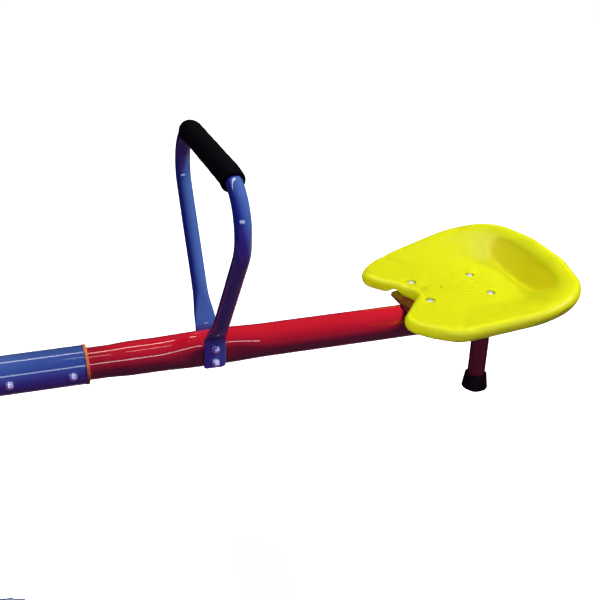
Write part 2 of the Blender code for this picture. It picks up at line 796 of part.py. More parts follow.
def make_centre(looks, pivot):
    """Centre tube, with the cross barrel and bushes that the pivot bolt passes through."""
    radius = CENTRE_TUBE_DIAMETER / 2
    half = CENTRE_TUBE_LENGTH / 2
    wide = Vector((0, 0, 1))
    thin = Vector((0, 1, 0))
    stations = [(Vector((x, 0, 0)), wide, thin, radius, radius, 0.0) for x in (-half, half)]
    tube = swept_tube("centre_tube", stations, CENTRE_TUBE_WALL, CENTRE_SIDES)
    barrel_hole = around(BARREL_DIAMETER / 2 + TOUCH_GAP, TURNED_SIDES)
    tools = [rod(barrel_hole, -2 * radius, 2 * radius, (0, 1, 0), sides=TURNED_SIDES)]
    for place in sleeve_bolt_places():
        for side in (-1, 1):
            tools.append(drill(SMALL_BOLT_DIAMETER, 2 * radius, (0, 1, 0), (side * place, 0, 0)))
    finish(cut(tube, *tools), looks["blue"], pivot)

    bore = BARREL_DIAMETER / 2 - BARREL_WALL
    barrel = turned(
        "pivot_barrel",
        [
            (bore, -BARREL_HALF_LENGTH),
            (BARREL_DIAMETER / 2, -BARREL_HALF_LENGTH),
            (BARREL_DIAMETER / 2, BARREL_HALF_LENGTH),
            (bore, BARREL_HALF_LENGTH),
        ],
    )
    finish(barrel, looks["steel"], pivot, along((0, 1, 0)))
    inner = around(PIVOT_BOLT_DIAMETER / 2 + RUNNING_CLEARANCE, TURNED_SIDES)
    outer = flats(bore, TURNED_SIDES) - TOUCH_GAP
    for name, side in (("pivot_bush_near", -1), ("pivot_bush_far", 1)):
        bush = turned(
            name,
            [
                (inner, BUSH_FACE_Y),
                (BARREL_DIAMETER / 2, BUSH_FACE_Y),
                (BARREL_DIAMETER / 2, BARREL_HALF_LENGTH + TOUCH_GAP),
                (outer, BARREL_HALF_LENGTH + TOUCH_GAP),
                (outer, BARREL_HALF_LENGTH - PIVOT_BUSH_LENGTH),
                (inner, BARREL_HALF_LENGTH - PIVOT_BUSH_LENGTH),
            ],
        )
        finish(bush, looks["nylon"], pivot, along((0, side, 0)))


def arm_half_thickness(x):
    """Half the arm's thickness in Y: swaged at its inner end, pressed flat at the handle."""
    swage_from = CENTRE_TUBE_LENGTH / 2 + ARM_SWAGE_START
    grown = smoothstep((x - swage_from) / ARM_SWAGE_LENGTH)
    radius = (ARM_SWAGED_DIAMETER + (ARM_DIAMETER - ARM_SWAGED_DIAMETER) * grown) / 2
    away = (abs(x - HANDLE_X) - ARM_PRESSED_LENGTH / 2) / ARM_PRESSED_BLEND
    half = ARM_PRESSED_THICKNESS / 2 + (radius - ARM_PRESSED_THICKNESS / 2) * smoothstep(away)
    return radius, half


def make_arm():
    """Arm tube from inside the centre tube to under the seat, with its bolt holes."""
    start = CENTRE_TUBE_LENGTH / 2 - ARM_INSERTION
    end = ARM_END_X
    swage_from = CENTRE_TUBE_LENGTH / 2 + ARM_SWAGE_START
    places = [start, swage_from, swage_from + ARM_SWAGE_LENGTH]
    for side in (-1, 1):
        for part in (0.0, 0.5, 1.0):
            places.append(HANDLE_X + side * (ARM_PRESSED_LENGTH / 2 + ARM_PRESSED_BLEND * part))
    places.append(end)
    stations = []
    for x in sorted(places):
        radius, half = arm_half_thickness(x)
        stations.append((Vector((x, 0, 0)), Vector((0, 0, 1)), Vector((0, 1, 0)), radius, half, 0.0))
    arm = swept_tube("arm", stations, ARM_WALL, ARM_SIDES)
    places = [(place, 0.0) for place in sleeve_bolt_places()] + handle_bolt_places()
    return cut(arm, *[drill(SMALL_BOLT_DIAMETER, ARM_DIAMETER, (0, 1, 0), (x, 0, z)) for x, z in places])


def handle_bolt_places():
    """The two bolts through the straps, one over the other."""
    return [(HANDLE_X, side * HANDLE_BOLT_SPACING / 2) for side in (-1, 1)]


def make_collar():
    """Flanged liner between the arm and the centre tube, along X from the middle of the beam."""
    bore = around(ARM_SWAGED_DIAMETER / 2 + TOUCH_GAP, ARM_SIDES)
    outer = CENTRE_TUBE_BORE - TOUCH_GAP
    face = CENTRE_TUBE_LENGTH / 2 + TOUCH_GAP
    liner_end = CENTRE_TUBE_LENGTH / 2 - COLLAR_LINER_LENGTH
    rim = COLLAR_FLANGE_DIAMETER / 2
    outer_face = face + COLLAR_FLANGE_WIDTH
    collar = turned(
        "collar",
        [
            (bore, liner_end),
            (outer, liner_end),
            (outer, face),
            (rim, face),
            (rim, outer_face - COLLAR_CHAMFER),
            (rim - COLLAR_CHAMFER, outer_face),
            (bore, outer_face),
        ],
        ARM_SIDES,
    )
    collar.data.transform(along((1, 0, 0)))
    places = sleeve_bolt_places()
    return cut(collar, *[drill(SMALL_BOLT_DIAMETER, ARM_DIAMETER, (0, 1, 0), (x, 0, 0)) for x in places])


def handle_path():
    """Half of the handle's centre line in Y and Z, from a strap's lower end to the middle of the grip."""
    top_reach = HANDLE_ELBOW_REACH + (HANDLE_HEIGHT - HANDLE_ELBOW_HEIGHT) * math.tan(HANDLE_LEAN)
    return fillet_path(
        [
            (STRAP_CENTRE_Y, -STRAP_BELOW_AXIS, 0),
            (STRAP_CENTRE_Y, STRAP_ABOVE_AXIS, STRAP_BEND),
            (HANDLE_ELBOW_REACH, HANDLE_ELBOW_HEIGHT, HANDLE_ELBOW_BEND),
            (top_reach, HANDLE_HEIGHT, HANDLE_TOP_BEND),
            (0.0, HANDLE_HEIGHT, 0),
        ]
    )


def with_points_at(path, distances):
    """Adds points to a path at the given distances along it."""
    result = [path[0]]
    travelled = 0.0
    for here, there in zip(path, path[1:]):
        step = (there - here).length
        for distance in sorted(distances):
            if travelled + 1e-4 < distance < travelled + step - 1e-4:
                result.append(here.lerp(there, (distance - travelled) / step))
        result.append(there)
        travelled += step
    return result


def along_handle(distances):
    """The handle's half path with points added at some distances from the strap's lower end.

    Gives each point, the direction across the path there and the distance.
    """
    path = with_points_at(handle_path(), distances)
    places = []
    travelled = 0.0
    for before, point, ahead in zip(path[:1] + path, path, headings(path)):
        travelled += (point - before).length
        places.append((Vector((0, point.x, point.y)), Vector((0, -ahead.y, ahead.x)), travelled))
    return places


def both_halves(stations):
    """Adds the mirror image of a run of stations that ends at Y 0."""
    other = []
    for centre, wide, across, *sizes in reversed(stations[:-1]):
        flipped = Vector((0, -centre.y, centre.z))
        other.append((flipped, wide, Vector((0, -across.y, across.z)), *sizes))
    return stations + other


def make_handle():
    """Handle tube, round over the arch and pressed flat against the arm at both ends."""
    flat = STRAP_BELOW_AXIS + STRAP_ABOVE_AXIS
    extra = [STRAP_CORNER * part for part in (0.3, 1.0)]
    extra += [flat + STRAP_FLARE * part for part in (0.45, 1.0)]
    radius = HANDLE_TUBE_DIAMETER / 2
    stations = []
    for centre, across, distance in along_handle(extra):
        opened = smoothstep((distance - flat) / STRAP_FLARE)
        half = STRAP_THICKNESS / 2 + (radius - STRAP_THICKNESS / 2) * opened
        corner = max(0.0, 1.0 - distance / STRAP_CORNER)
        narrowing = STRAP_CORNER * (1.0 - math.sqrt(1.0 - corner * corner))
        stations.append((centre, Vector((1, 0, 0)), across, radius, half, narrowing))
    handle = swept_tube("handle", both_halves(stations), HANDLE_TUBE_WALL, TUBE_SIDES)
    places = handle_bolt_places()
    return cut(handle, *[drill(SMALL_BOLT_DIAMETER, ARM_DIAMETER, (0, 1, 0), (0, 0, z)) for _, z in places])


def make_grip():
    """Foam sleeve over the top of the handle and the start of its bends, with rounded ends."""
    bore = HANDLE_TUBE_DIAMETER / 2 + TOUCH_GAP
    outer = GRIP_DIAMETER / 2
    rounding = GRIP_END_SHARE * (outer - bore)
    start = along_handle([])[-1][2] - GRIP_LENGTH / 2
    stations = []
    for centre, across, distance in along_handle([start + rounding * part for part in (0.0, 0.3, 1.0)]):
        if distance < start - TOUCH_GAP:
            continue
        edge = max(0.0, 1.0 - (distance - start) / rounding)
        radius = outer - rounding * (1.0 - math.sqrt(max(0.0, 1.0 - edge * edge)))
        stations.append((centre, Vector((1, 0, 0)), across, radius))
    outside = []
    inside = []
    for centre, wide, across, radius in both_halves(stations):
        outside.append(placed_ring(centre, wide, across, radius, radius, TUBE_SIDES))
        inside.append(placed_ring(centre, wide, across, bore, bore, TUBE_SIDES))
    return hollow("grip", outside, inside)


def seat_corners():
    """The seat's outline from above: the notch, then round the right side, the rear and the left side."""
    half = [
        (SEAT_LOBE_X, SEAT_LOBE_Y, SEAT_LOBE_RADIUS),
        (SEAT_SHOULDER_X, SEAT_SHOULDER_Y, SEAT_SHOULDER_RADIUS),
        (SEAT_HIP_X, SEAT_HIP_Y, SEAT_HIP_RADIUS),
        (SEAT_REAR_CORNER_X, SEAT_REAR_CORNER_Y, SEAT_REAR_CORNER_RADIUS),
        (SEAT_REAR_X, SEAT_REAR_Y, SEAT_REAR_RADIUS),
    ]
    right = [(x, -y, radius) for x, y, radius in half]
    left = half[::-1]
    return [(SEAT_NOTCH_APEX_X, 0.0, SEAT_NOTCH_RADIUS)] + right + left


def rim_height(x):
    """The rim is low and level at the front and rises in a straight slope to the rear."""
    return SEAT_PAN_HEIGHT + SEAT_FRONT_LIP + SEAT_RIM_SLOPE * max(0.0, x - SEAT_RIM_SLOPE_START)


def pocket_depth(x, y):
    """A shallow dish pressed into the slope behind the pan."""
    past_front = smoothstep((x - SEAT_POCKET_START_X) / SEAT_POCKET_EDGE)
    before_rear = smoothstep((SEAT_POCKET_END_X - x) / SEAT_POCKET_EDGE)
    inside_ends = smoothstep((SEAT_POCKET_HALF_WIDTH - abs(y)) / SEAT_POCKET_EDGE)
    return SEAT_POCKET_DEPTH * past_front * before_rear * inside_ends


def seat_height(share, rim_x, x, y):
    """The seat's upper surface at a share of the way from its middle to the rim."""
    rise = smoothstep((share - SEAT_LEVEL_SHARE) / (1.0 - SEAT_LEVEL_SHARE))
    return SEAT_PAN_HEIGHT + (rim_height(rim_x) - SEAT_PAN_HEIGHT) * rise - pocket_depth(x, y)


def skirt_depth(spot):
    """The skirt hangs less deep round the notch."""
    if spot.x > SEAT_MIDDLE_X:
        return SEAT_SKIRT
    return SEAT_NOTCH_SKIRT + (SEAT_SKIRT - SEAT_NOTCH_SKIRT) * smoothstep(abs(spot.y) / SEAT_LOBE_Y)


def seat_shell():
    """The seat's skin: skirt, rolled rim, bowl and pan, with an open underside."""
    outline = closed_outline(seat_corners(), SEAT_LONGEST_SIDE, SEAT_SHORTEST_SIDE)
    count = len(outline)
    inward = []
    for i in range(count):
        along_edge = outline[(i + 1) % count] - outline[i - 1]
        inward.append(Vector((-along_edge.y, along_edge.x)).normalized())
    bevel = SEAT_EDGE_RADIUS * (1.0 - math.cos(math.pi / 4))
    middle = Vector((SEAT_MIDDLE_X, 0.0))
    points = []
    rings = []

    def add_ring(insets, height_of):
        start = len(points)
        for i, spot in enumerate(insets):
            points.append((spot.x, spot.y, height_of(i, spot)))
        rings.append(list(range(start, start + count)))

    def inset(amount):
        return [outline[i] + inward[i] * amount for i in range(count)]

    def rim_less(amount):
        return lambda i, spot: rim_height(outline[i].x) - amount

    def skirt_edge(i, spot):
        return rim_height(outline[i].x) - skirt_depth(outline[i])

    def surface(share, thickness):
        return lambda i, spot: seat_height(share, outline[i].x, spot.x, spot.y) - thickness

    add_ring(inset(0.0), skirt_edge)
    add_ring(inset(0.0), rim_less(SEAT_EDGE_RADIUS))
    add_ring(inset(bevel), rim_less(bevel))
    crest = inset(SEAT_EDGE_RADIUS)
    add_ring(crest, rim_less(0.0))
    shares = (0.86, 0.68, SEAT_LEVEL_SHARE)
    for share in shares:
        add_ring([middle.lerp(spot, share) for spot in crest], surface(share, 0.0))
    top_centre = len(points)
    points.append((middle.x, middle.y, SEAT_PAN_HEIGHT))
    top_rings = len(rings)
    for share in reversed(shares):
        add_ring([middle.lerp(spot, share) for spot in crest], surface(share, SEAT_WALL))
    under_centre = len(points)
    points.append((middle.x, middle.y, SEAT_PAN_HEIGHT - SEAT_WALL))
    add_ring(crest, rim_less(SEAT_WALL))
    add_ring(inset(SEAT_WALL), rim_less(SEAT_EDGE_RADIUS))
    add_ring(inset(SEAT_WALL), skirt_edge)
    faces = []
    for lower, upper in zip(rings[:top_rings], rings[1:top_rings]):
        faces += bridge(lower, upper)
    for lower, upper in zip(rings[top_rings:], rings[top_rings + 1:] + rings[:1]):
        faces += bridge(lower, upper)
    for ring, centre in ((rings[top_rings - 1], top_centre), (rings[top_rings], under_centre)):
        faces += [(ring[i], ring[(i + 1) % count], centre) for i in range(count)]
    return mesh_object("seat", points, faces)


def seat_bolt_places():
    half_x = SEAT_BOLT_SPACING_X / 2
    half_y = SEAT_BOLT_SPACING_Y / 2
    return [(x, y) for x in (-half_x, half_x) for y in (-half_y, half_y)]


def drain_places():
    """Three staggered rows of drain holes between the bolts."""
    outer = [(side * DRAIN_PITCH / 2, row * SEAT_BOLT_SPACING_Y / 2) for row in (-1, 1) for side in (-1, 1)]
    inner = [(number * DRAIN_PITCH, 0.0) for number in (-1.5, -0.5, 0.5, 1.5)]
    return outer + inner


def make_seat():
    """The seat with bosses and ribs that stand on the plate, and its holes."""
    seat = seat_shell()
    low = SEAT_PLATE_TOP + TOUCH_GAP
    in_the_pan = SEAT_PAN_HEIGHT - SEAT_WALL / 2
    rib_top = SEAT_PAN_HEIGHT - 3 * SEAT_WALL / 4
    additions = []
    for x, y in seat_bolt_places():
        additions.append(rod(SEAT_BOSS_DIAMETER / 2, low, in_the_pan, (0, 0, 1), (x, y, 0), BOLT_SIDES, 0.5))
    rib_half = SEAT_BOLT_SPACING_Y / 2
    for side in (-1, 1):
        middle = side * SEAT_BOLT_SPACING_X / 2
        outline = rectangle(middle - SEAT_RIB_WIDTH / 2, middle + SEAT_RIB_WIDTH / 2, -rib_half, rib_half)
        additions.append(extruded("rib", outline, low + SEAT_RIB_LIFT, rib_top))
    join(seat, *additions)
    over = 2 * SEAT_PAN_HEIGHT
    recess = around(SEAT_BOLT_RECESS_DIAMETER / 2, BOLT_SIDES)
    floor = SEAT_PAN_HEIGHT - SEAT_BOLT_RECESS
    tools = []
    for x, y in seat_bolt_places():
        tools.append(drill(SMALL_BOLT_DIAMETER, over, (0, 0, 1), (x, y, 0)))
        tools.append(rod(recess, floor, over, (0, 0, 1), (x, y, 0), BOLT_SIDES, 0.5))
    for x, y in drain_places():
        tools.append(rod(DRAIN_DIAMETER / 2, 0.0, over, (0, 0, 1), (x, y, 0), DRAIN_SIDES))
    return cut(seat, *tools)


def make_seat_plate():
    half_length = SEAT_PLATE_LENGTH / 2
    half_width = SEAT_PLATE_WIDTH / 2
    corners = rectangle(-half_length, half_length, -half_width, half_width)
    outline = closed_outline([(x, y, SEAT_PLATE_CORNER) for x, y in corners])
    plate = extruded("seat_plate", outline, SEAT_PLATE_BOTTOM, SEAT_PLATE_TOP)
    reach = 2 * SEAT_PLATE_TOP
    holes = [drill(SMALL_BOLT_DIAMETER, reach, (0, 0, 1), (x, y, 0)) for x, y in seat_bolt_places()]
    return cut(plate, *holes)


def make_bumper_leg():
    """Short tube whose top is coped to the arm it is welded under."""
    outer = BUMPER_DIAMETER / 2
    bottom = -BUMPER_REACH + BUMPER_FOOT_SOLE + TOUCH_GAP
    leg = turned(
        "bumper_leg",
        [(outer - BUMPER_WALL, bottom), (outer, bottom), (outer, 0.0), (outer - BUMPER_WALL, 0.0)],
    )
    cope = around(ARM_DIAMETER / 2 + TOUCH_GAP, ARM_SIDES)
    return cut(leg, rod(cope, -ARM_DIAMETER, ARM_DIAMETER, (1, 0, 0), sides=ARM_SIDES, phase=0.5))


def make_bumper_foot():
    """Flared rubber cup with a rounded tread."""
    bore = around(BUMPER_DIAMETER / 2 + TOUCH_GAP, TURNED_SIDES)
    low = -BUMPER_REACH
    high = low + BUMPER_FOOT_HEIGHT
    radius = BUMPER_FOOT_DIAMETER / 2
    top_radius = BUMPER_FOOT_TOP_DIAMETER / 2
    return turned(
        "bumper_foot",
        [
            (0.0, low),
            (radius - BUMPER_FOOT_EDGE, low),
            (radius - 0.3 * BUMPER_FOOT_EDGE, low + 0.3 * BUMPER_FOOT_EDGE),
            (radius, low + BUMPER_FOOT_EDGE),
            (top_radius, high - BUMPER_FOOT_TOP_EDGE),
            (top_radius - 0.7 * BUMPER_FOOT_TOP_EDGE, high),
            (bore, high),
            (bore, low + BUMPER_FOOT_SOLE),
            (0.0, low + BUMPER_FOOT_SOLE),
        ],
    )


def make_plug():
    """Plastic plug pushed into the arm's outer end, hollow from inside."""
    outer = ARM_DIAMETER / 2
    inside = flats(outer - ARM_WALL, ARM_SIDES) - TOUCH_GAP
    return turned(
        "arm_plug",
        [
            (0.0, TOUCH_GAP + PLUG_RIM),
            (outer - PLUG_CHAMFER, TOUCH_GAP + PLUG_RIM),
            (outer, TOUCH_GAP + PLUG_RIM - PLUG_CHAMFER),
            (outer, TOUCH_GAP),
            (inside, TOUCH_GAP),
            (inside, -PLUG_DEPTH),
            (inside - PLUG_WALL, -PLUG_DEPTH),
            (inside - PLUG_WALL, TOUCH_GAP),
            (0.0, TOUCH_GAP),
        ],
        ARM_SIDES,
    )


def small_bolt(head_height, reach):
    return dome_bolt("bolt", SMALL_BOLT_DIAMETER, SMALL_HEAD_DIAMETER, head_height, reach)


def make_end(looks, guide):
    """All the pieces of one end, by kind, in the frame of that end."""
    at_handle = Matrix.Translation((HANDLE_X, 0, 0))
    at_grip = along((0, 1, 0), (HANDLE_X, 0, HANDLE_HEIGHT))
    at_seat = Matrix.Translation((SEAT_X, 0, 0))
    at_bumper = Matrix.Translation((BUMPER_X, 0, 0))
    at_arm_end = along((1, 0, 0), (ARM_END_X, 0, 0))
    pieces = {
        "arm": finish(make_arm(), looks["red"], guide),
        "collar": finish(make_collar(), looks["orange"], guide),
        "handle": finish(make_handle(), looks["blue"], guide, at_handle),
        "grip": finish(make_grip(), looks["foam"], guide, at_grip),
        "seat": finish(make_seat(), looks["yellow"], guide, at_seat),
        "seat_plate": finish(make_seat_plate(), looks["red"], guide, at_seat),
        "bumper_leg": finish(make_bumper_leg(), looks["red"], guide, at_bumper),
        "bumper_foot": finish(make_bumper_foot(), looks["rubber"], guide, at_bumper),
        "arm_plug": finish(make_plug(), looks["plastic"], guide, at_arm_end),
    }
    face = CENTRE_TUBE_FACE + TOUCH_GAP
    for number, x in enumerate(sleeve_bolt_places(), 1):
        bolt = small_bolt(SMALL_HEAD_HEIGHT, 2 * face + NUT_ALLOWANCE)
        place = along((0, -1, 0), (x, -face, 0))
        pieces[f"sleeve_bolt_{number}"] = finish(bolt, looks["zinc"], guide, place)
    face = STRAP_FACE_Y + TOUCH_GAP
    for number, (x, z) in enumerate(handle_bolt_places(), 1):
        bolt = small_bolt(SMALL_HEAD_HEIGHT, 2 * face + NUT_ALLOWANCE)
        place = along((0, -1, 0), (x, -face, z))
        pieces[f"handle_bolt_{number}"] = finish(bolt, looks["zinc"], guide, place)
    face = SEAT_PAN_HEIGHT - SEAT_BOLT_RECESS + TOUCH_GAP
    for number, (x, y) in enumerate(seat_bolt_places(), 1):
        bolt = small_bolt(SEAT_HEAD_HEIGHT, face - SEAT_PLATE_BOTTOM + NUT_ALLOWANCE)
        place = Matrix.Translation((SEAT_X + x, y, face))
        pieces[f"seat_bolt_{number}"] = finish(bolt, looks["zinc"], guide, place)
    return pieces


def make_beam(looks, pivot):
    """The rocking beam: the centre, one end built piece by piece, and the same end turned round."""
    make_centre(looks, pivot)
    right = empty("right_end", (0, 0, 0), pivot)
    left = empty("left_end", (0, 0, 0), pivot, math.pi)
    for kind, made in make_end(looks, right).items():
        made.name = f"right_{kind}"
        repeat(made, f"left_{kind}", left)


def main():
    for old in list(bpy.data.objects):
        bpy.data.objects.remove(old)
    looks = {
        "blue": material("blue_enamel", (0.035, 0.075, 0.33), 0.28),
        "red": material("red_enamel", (0.46, 0.010, 0.024), 0.25),
        "yellow": material("yellow_plastic", (0.80, 0.76, 0.005), 0.35),
        "orange": material("orange_plastic", (0.90, 0.28, 0.04), 0.40),
        "plastic": material("black_plastic", (0.010, 0.010, 0.011), 0.45),
        "rubber": material("black_rubber", (0.008, 0.008, 0.009), 0.60),
        "foam": material("black_foam", (0.010, 0.009, 0.010), 0.90),
        "nylon": material("white_nylon", (0.72, 0.71, 0.67), 0.45),
        "zinc": material("zinc_plate", (0.70, 0.71, 0.73), 0.25, 1.0),
        "steel": material("bright_steel", (0.55, 0.55, 0.56), 0.35, 1.0),
    }
    make_base(looks)
    swivel = empty("swivel_pivot", (0, 0, BEAM_AXIS_HEIGHT))
    rocker = empty("rock_pivot", (0, 0, 0), swivel)
    make_swivel(looks, swivel)
    make_beam(looks, rocker)
    bpy.context.view_layer.update()


main()
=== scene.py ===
import json
import math

import bmesh
import bpy
import numpy as np
from mathutils import Matrix, Vector

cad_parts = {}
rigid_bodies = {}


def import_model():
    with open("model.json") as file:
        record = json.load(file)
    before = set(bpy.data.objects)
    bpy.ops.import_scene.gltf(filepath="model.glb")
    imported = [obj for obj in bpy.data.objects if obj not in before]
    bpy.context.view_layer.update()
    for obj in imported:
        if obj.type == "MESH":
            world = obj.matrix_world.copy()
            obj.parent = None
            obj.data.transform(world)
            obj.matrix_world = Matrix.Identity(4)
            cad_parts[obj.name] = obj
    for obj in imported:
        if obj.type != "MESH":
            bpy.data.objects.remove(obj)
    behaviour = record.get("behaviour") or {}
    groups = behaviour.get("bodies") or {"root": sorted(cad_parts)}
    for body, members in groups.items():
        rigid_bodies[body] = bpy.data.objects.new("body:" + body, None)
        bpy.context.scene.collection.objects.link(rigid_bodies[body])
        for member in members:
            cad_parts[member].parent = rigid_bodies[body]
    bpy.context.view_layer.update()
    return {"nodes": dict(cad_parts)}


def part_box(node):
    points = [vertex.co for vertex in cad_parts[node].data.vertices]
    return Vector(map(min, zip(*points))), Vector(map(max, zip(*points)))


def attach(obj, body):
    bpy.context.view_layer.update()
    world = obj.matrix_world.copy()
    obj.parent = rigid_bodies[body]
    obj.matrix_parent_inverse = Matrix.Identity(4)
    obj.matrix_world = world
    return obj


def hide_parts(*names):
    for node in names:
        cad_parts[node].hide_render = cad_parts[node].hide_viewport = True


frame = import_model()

# Sizes of the solids, in metres
AXIS_HEIGHT = 0.480
HANDLE_X = 0.4018
SEAT_X = HANDLE_X + 0.3718
BUMPER_X = HANDLE_X + 0.4334
ARM_END_X = HANDLE_X + 0.4542
CENTRE_HALF = 0.220
CENTRE_RADIUS = 0.02725
CENTRE_WALL = 0.002
ARM_RADIUS = 0.0243
ARM_SWAGED_RADIUS = 0.0227
ARM_WALL = 0.0015
ARM_INNER_X = 0.092
SWAGE_START_X = 0.251
SWAGE_LENGTH = 0.035
PRESSED_HALF = 0.0206
PRESSED_LENGTH = 0.040
PRESSED_BLEND = 0.062
TUBE_RADIUS = 0.011
TUBE_WALL = 0.0015
STRAP_HALF = 0.0025
STRAP_Y = 0.0233
STRAP_LENGTH = 0.045
STRAP_FLARE = 0.055
HANDLE_HEIGHT = 0.289
GRIP_HALF = 0.110
GRIP_RADIUS = 0.01625
SEAT_PAN = 0.047
SEAT_EDGE = 0.0095
SEAT_WALL = 0.0035
SEAT_SKIRT = 0.019
SEAT_BOLTS = [(x, y) for x in (-0.04865, 0.04865) for y in (-0.032, 0.032)]
PLATE_BOTTOM = 0.0243
PLATE_TOP = 0.0281
SEAT_LEVEL_SHARE = 0.45
POCKET_X = 0.1175
POCKET_HALF = 0.0165
POCKET_REACH = 0.092
POCKET_BEND = 0.75
BUMPER_LOW = -0.1425
BUMPER_HIGH = -0.111
GAP = 0.0003
BASE_TURN = math.radians(80.0)
LEG_REACH = 0.335
LEG_SLOPE = math.radians(6.0)
SOCKET_HEIGHT = 0.088
LEG_BOLT_REACH = 0.084


# Camera, at the photograph's angle
camera = bpy.data.objects.new("camera", bpy.data.cameras.new("camera"))
bpy.context.scene.collection.objects.link(camera)
camera.location = (0.0661, -1.2261, 1.1891)
camera.rotation_euler = (math.radians(63.82), 0.0, math.radians(-15.79))
camera.data.sensor_width = 36.0
camera.data.lens = 61.22
camera.data.shift_x = 0.1367
camera.data.shift_y = -0.0100
camera.data.clip_start = 0.05
camera.data.clip_end = 60.0
bpy.context.scene.camera = camera


# Node materials


class Look:
    """A Principled material whose parts are added one by one."""

    def __init__(self, name, roughness, **constants):
        self.material = bpy.data.materials.new(name)
        self.material.use_nodes = True
        self.nodes = self.material.node_tree.nodes
        self.links = self.material.node_tree.links
        self.shader = self.nodes["Principled BSDF"]
        self.shader.inputs["Roughness"].default_value = roughness
        for socket, value in constants.items():
            self.shader.inputs[socket.replace("_", " ")].default_value = value
        self.place = self.nodes.new("ShaderNodeTexCoord").outputs["Object"]

    def noise(self, scale, detail=3.0, stretch=None, roughness=0.5):
        """Noise in the object's own space, in features per metre."""
        texture = self.nodes.new("ShaderNodeTexNoise")
        texture.inputs["Scale"].default_value = scale
        texture.inputs["Detail"].default_value = detail
        texture.inputs["Roughness"].default_value = roughness
        place = self.place
        if stretch:
            mapping = self.nodes.new("ShaderNodeMapping")
            mapping.inputs["Scale"].default_value = stretch
            self.links.new(place, mapping.inputs["Vector"])
            place = mapping.outputs["Vector"]
        self.links.new(place, texture.inputs["Vector"])
        return texture.outputs["Fac"]

    def cells(self, scale):
        """Rounded cells, for pores and pebbled moulds."""
        texture = self.nodes.new("ShaderNodeTexVoronoi")
        texture.inputs["Scale"].default_value = scale
        self.links.new(self.place, texture.inputs["Vector"])
        return texture.outputs["Distance"]

    def spread(self, value, low, high, to_low, to_high):
        """Maps a value's range on to another."""
        node = self.nodes.new("ShaderNodeMapRange")
        node.inputs["From Min"].default_value = low
        node.inputs["From Max"].default_value = high
        node.inputs["To Min"].default_value = to_low
        node.inputs["To Max"].default_value = to_high
        self.links.new(value, node.inputs["Value"])
        return node.outputs["Result"]

    def blend(self, value, first, second):
        """Goes from one colour to another as the value goes from 0 to 1."""
        node = self.nodes.new("ShaderNodeMix")
        node.data_type = "RGBA"
        for socket, colour in ((node.inputs[6], first), (node.inputs[7], second)):
            if isinstance(colour, tuple):
                socket.default_value = (*colour, 1.0)
            else:
                self.links.new(colour, socket)
        self.links.new(value, node.inputs[0])
        return node.outputs[2]

    def math(self, operation, first, second):
        """One step of arithmetic on outputs or numbers."""
        node = self.nodes.new("ShaderNodeMath")
        node.operation = operation
        for socket, value in zip(node.inputs, (first, second)):
            if isinstance(value, float):
                socket.default_value = value
            else:
                self.links.new(value, socket)
        return node.outputs[0]

    def painted_pocket_shade(self):
        """1 in the seat's pocket and 0 outside, from the same form as pocket_share: the mask for the shade
        painted into the pocket.
        """
        split = self.nodes.new("ShaderNodeSeparateXYZ")
        self.links.new(self.place, split.inputs["Vector"])
        square = self.math("MULTIPLY", split.outputs["Y"], split.outputs["Y"])
        bent = self.math("MULTIPLY", square, POCKET_BEND)
        across = self.math("SUBTRACT", self.math("ADD", split.outputs["X"], bent), SEAT_X + POCKET_X)
        across = self.math("DIVIDE", across, POCKET_HALF)
        along_it = self.math("DIVIDE", square, POCKET_REACH ** 2)
        squares = [self.math("MULTIPLY", value, value) for value in (across, along_it)]
        both = self.math("ADD", *squares)
        return self.spread(both, 1.25, 0.55, 0.0, 1.0)

    def colour(self, output):
        self.links.new(output, self.shader.inputs["Base Color"])

    def roughness(self, output):
        self.links.new(output, self.shader.inputs["Roughness"])

    def bump(self, height, strength, distance):
        """Adds a bump on top of those already there."""
        node = self.nodes.new("ShaderNodeBump")
        node.inputs["Strength"].default_value = strength
        node.inputs["Distance"].default_value = distance
        self.links.new(height, node.inputs["Height"])
        normal = self.shader.inputs["Normal"]
        if normal.is_linked:
            self.links.new(normal.links[0].from_socket, node.inputs["Normal"])
        self.links.new(node.outputs["Normal"], normal)


def enamel(name, first, second, fleck, coat=0.035):
    """Glossy powder enamel: slight pooling of colour, orange peel and a few dust nibs."""
    look = Look(name, 0.25, Coat_Weight=1.0, Coat_Roughness=coat, Specular_IOR_Level=0.02)
    pooling = look.spread(look.noise(9.0, 4.0), 0.35, 0.65, 0.0, 1.0)
    base = look.blend(pooling, first, second)
    nibs = look.spread(look.noise(420.0, 2.0), 0.70, 0.78, 0.0, 0.5)
    look.colour(look.blend(nibs, base, fleck))
    look.roughness(look.spread(look.noise(30.0, 5.0), 0.3, 0.7, 0.20, 0.30))
    look.bump(look.noise(260.0, 2.0), 0.05, 0.0003)
    return look.material


def moulded(name, first, second, roughness, grain, pocket=None, **constants):
    """Moulded plastic: a faint flow pattern, a fine mould grain and, in the seat's pocket, painted shade: a
    deeper orange that stands in for the hollow's shade and bounced light.
    """
    look = Look(name, roughness, Specular_IOR_Level=0.35, **constants)
    flow = look.spread(look.noise(7.0, 3.0, (1.0, 0.45, 1.0)), 0.3, 0.7, 0.0, 1.0)
    body = look.blend(flow, first, second)
    # In the pocket the base colour is painted shade, not a tint of the plastic.
    look.colour(look.blend(look.painted_pocket_shade(), body, pocket) if pocket else body)
    look.roughness(look.spread(look.noise(60.0, 4.0), 0.3, 0.7, roughness - 0.05, roughness + 0.06))
    look.bump(look.noise(grain, 3.0), 0.12, 0.0002)
    return look.material


def rubber(name, first, second):
    """Dull black rubber with a little bloom."""
    look = Look(name, 0.60, Specular_IOR_Level=0.12)
    bloom = look.spread(look.noise(45.0, 6.0), 0.45, 0.75, 0.0, 1.0)
    look.colour(look.blend(bloom, first, second))
    look.roughness(look.spread(look.noise(150.0, 4.0), 0.3, 0.7, 0.48, 0.66))
    look.bump(look.noise(700.0, 3.0), 0.25, 0.0003)
    return look.material


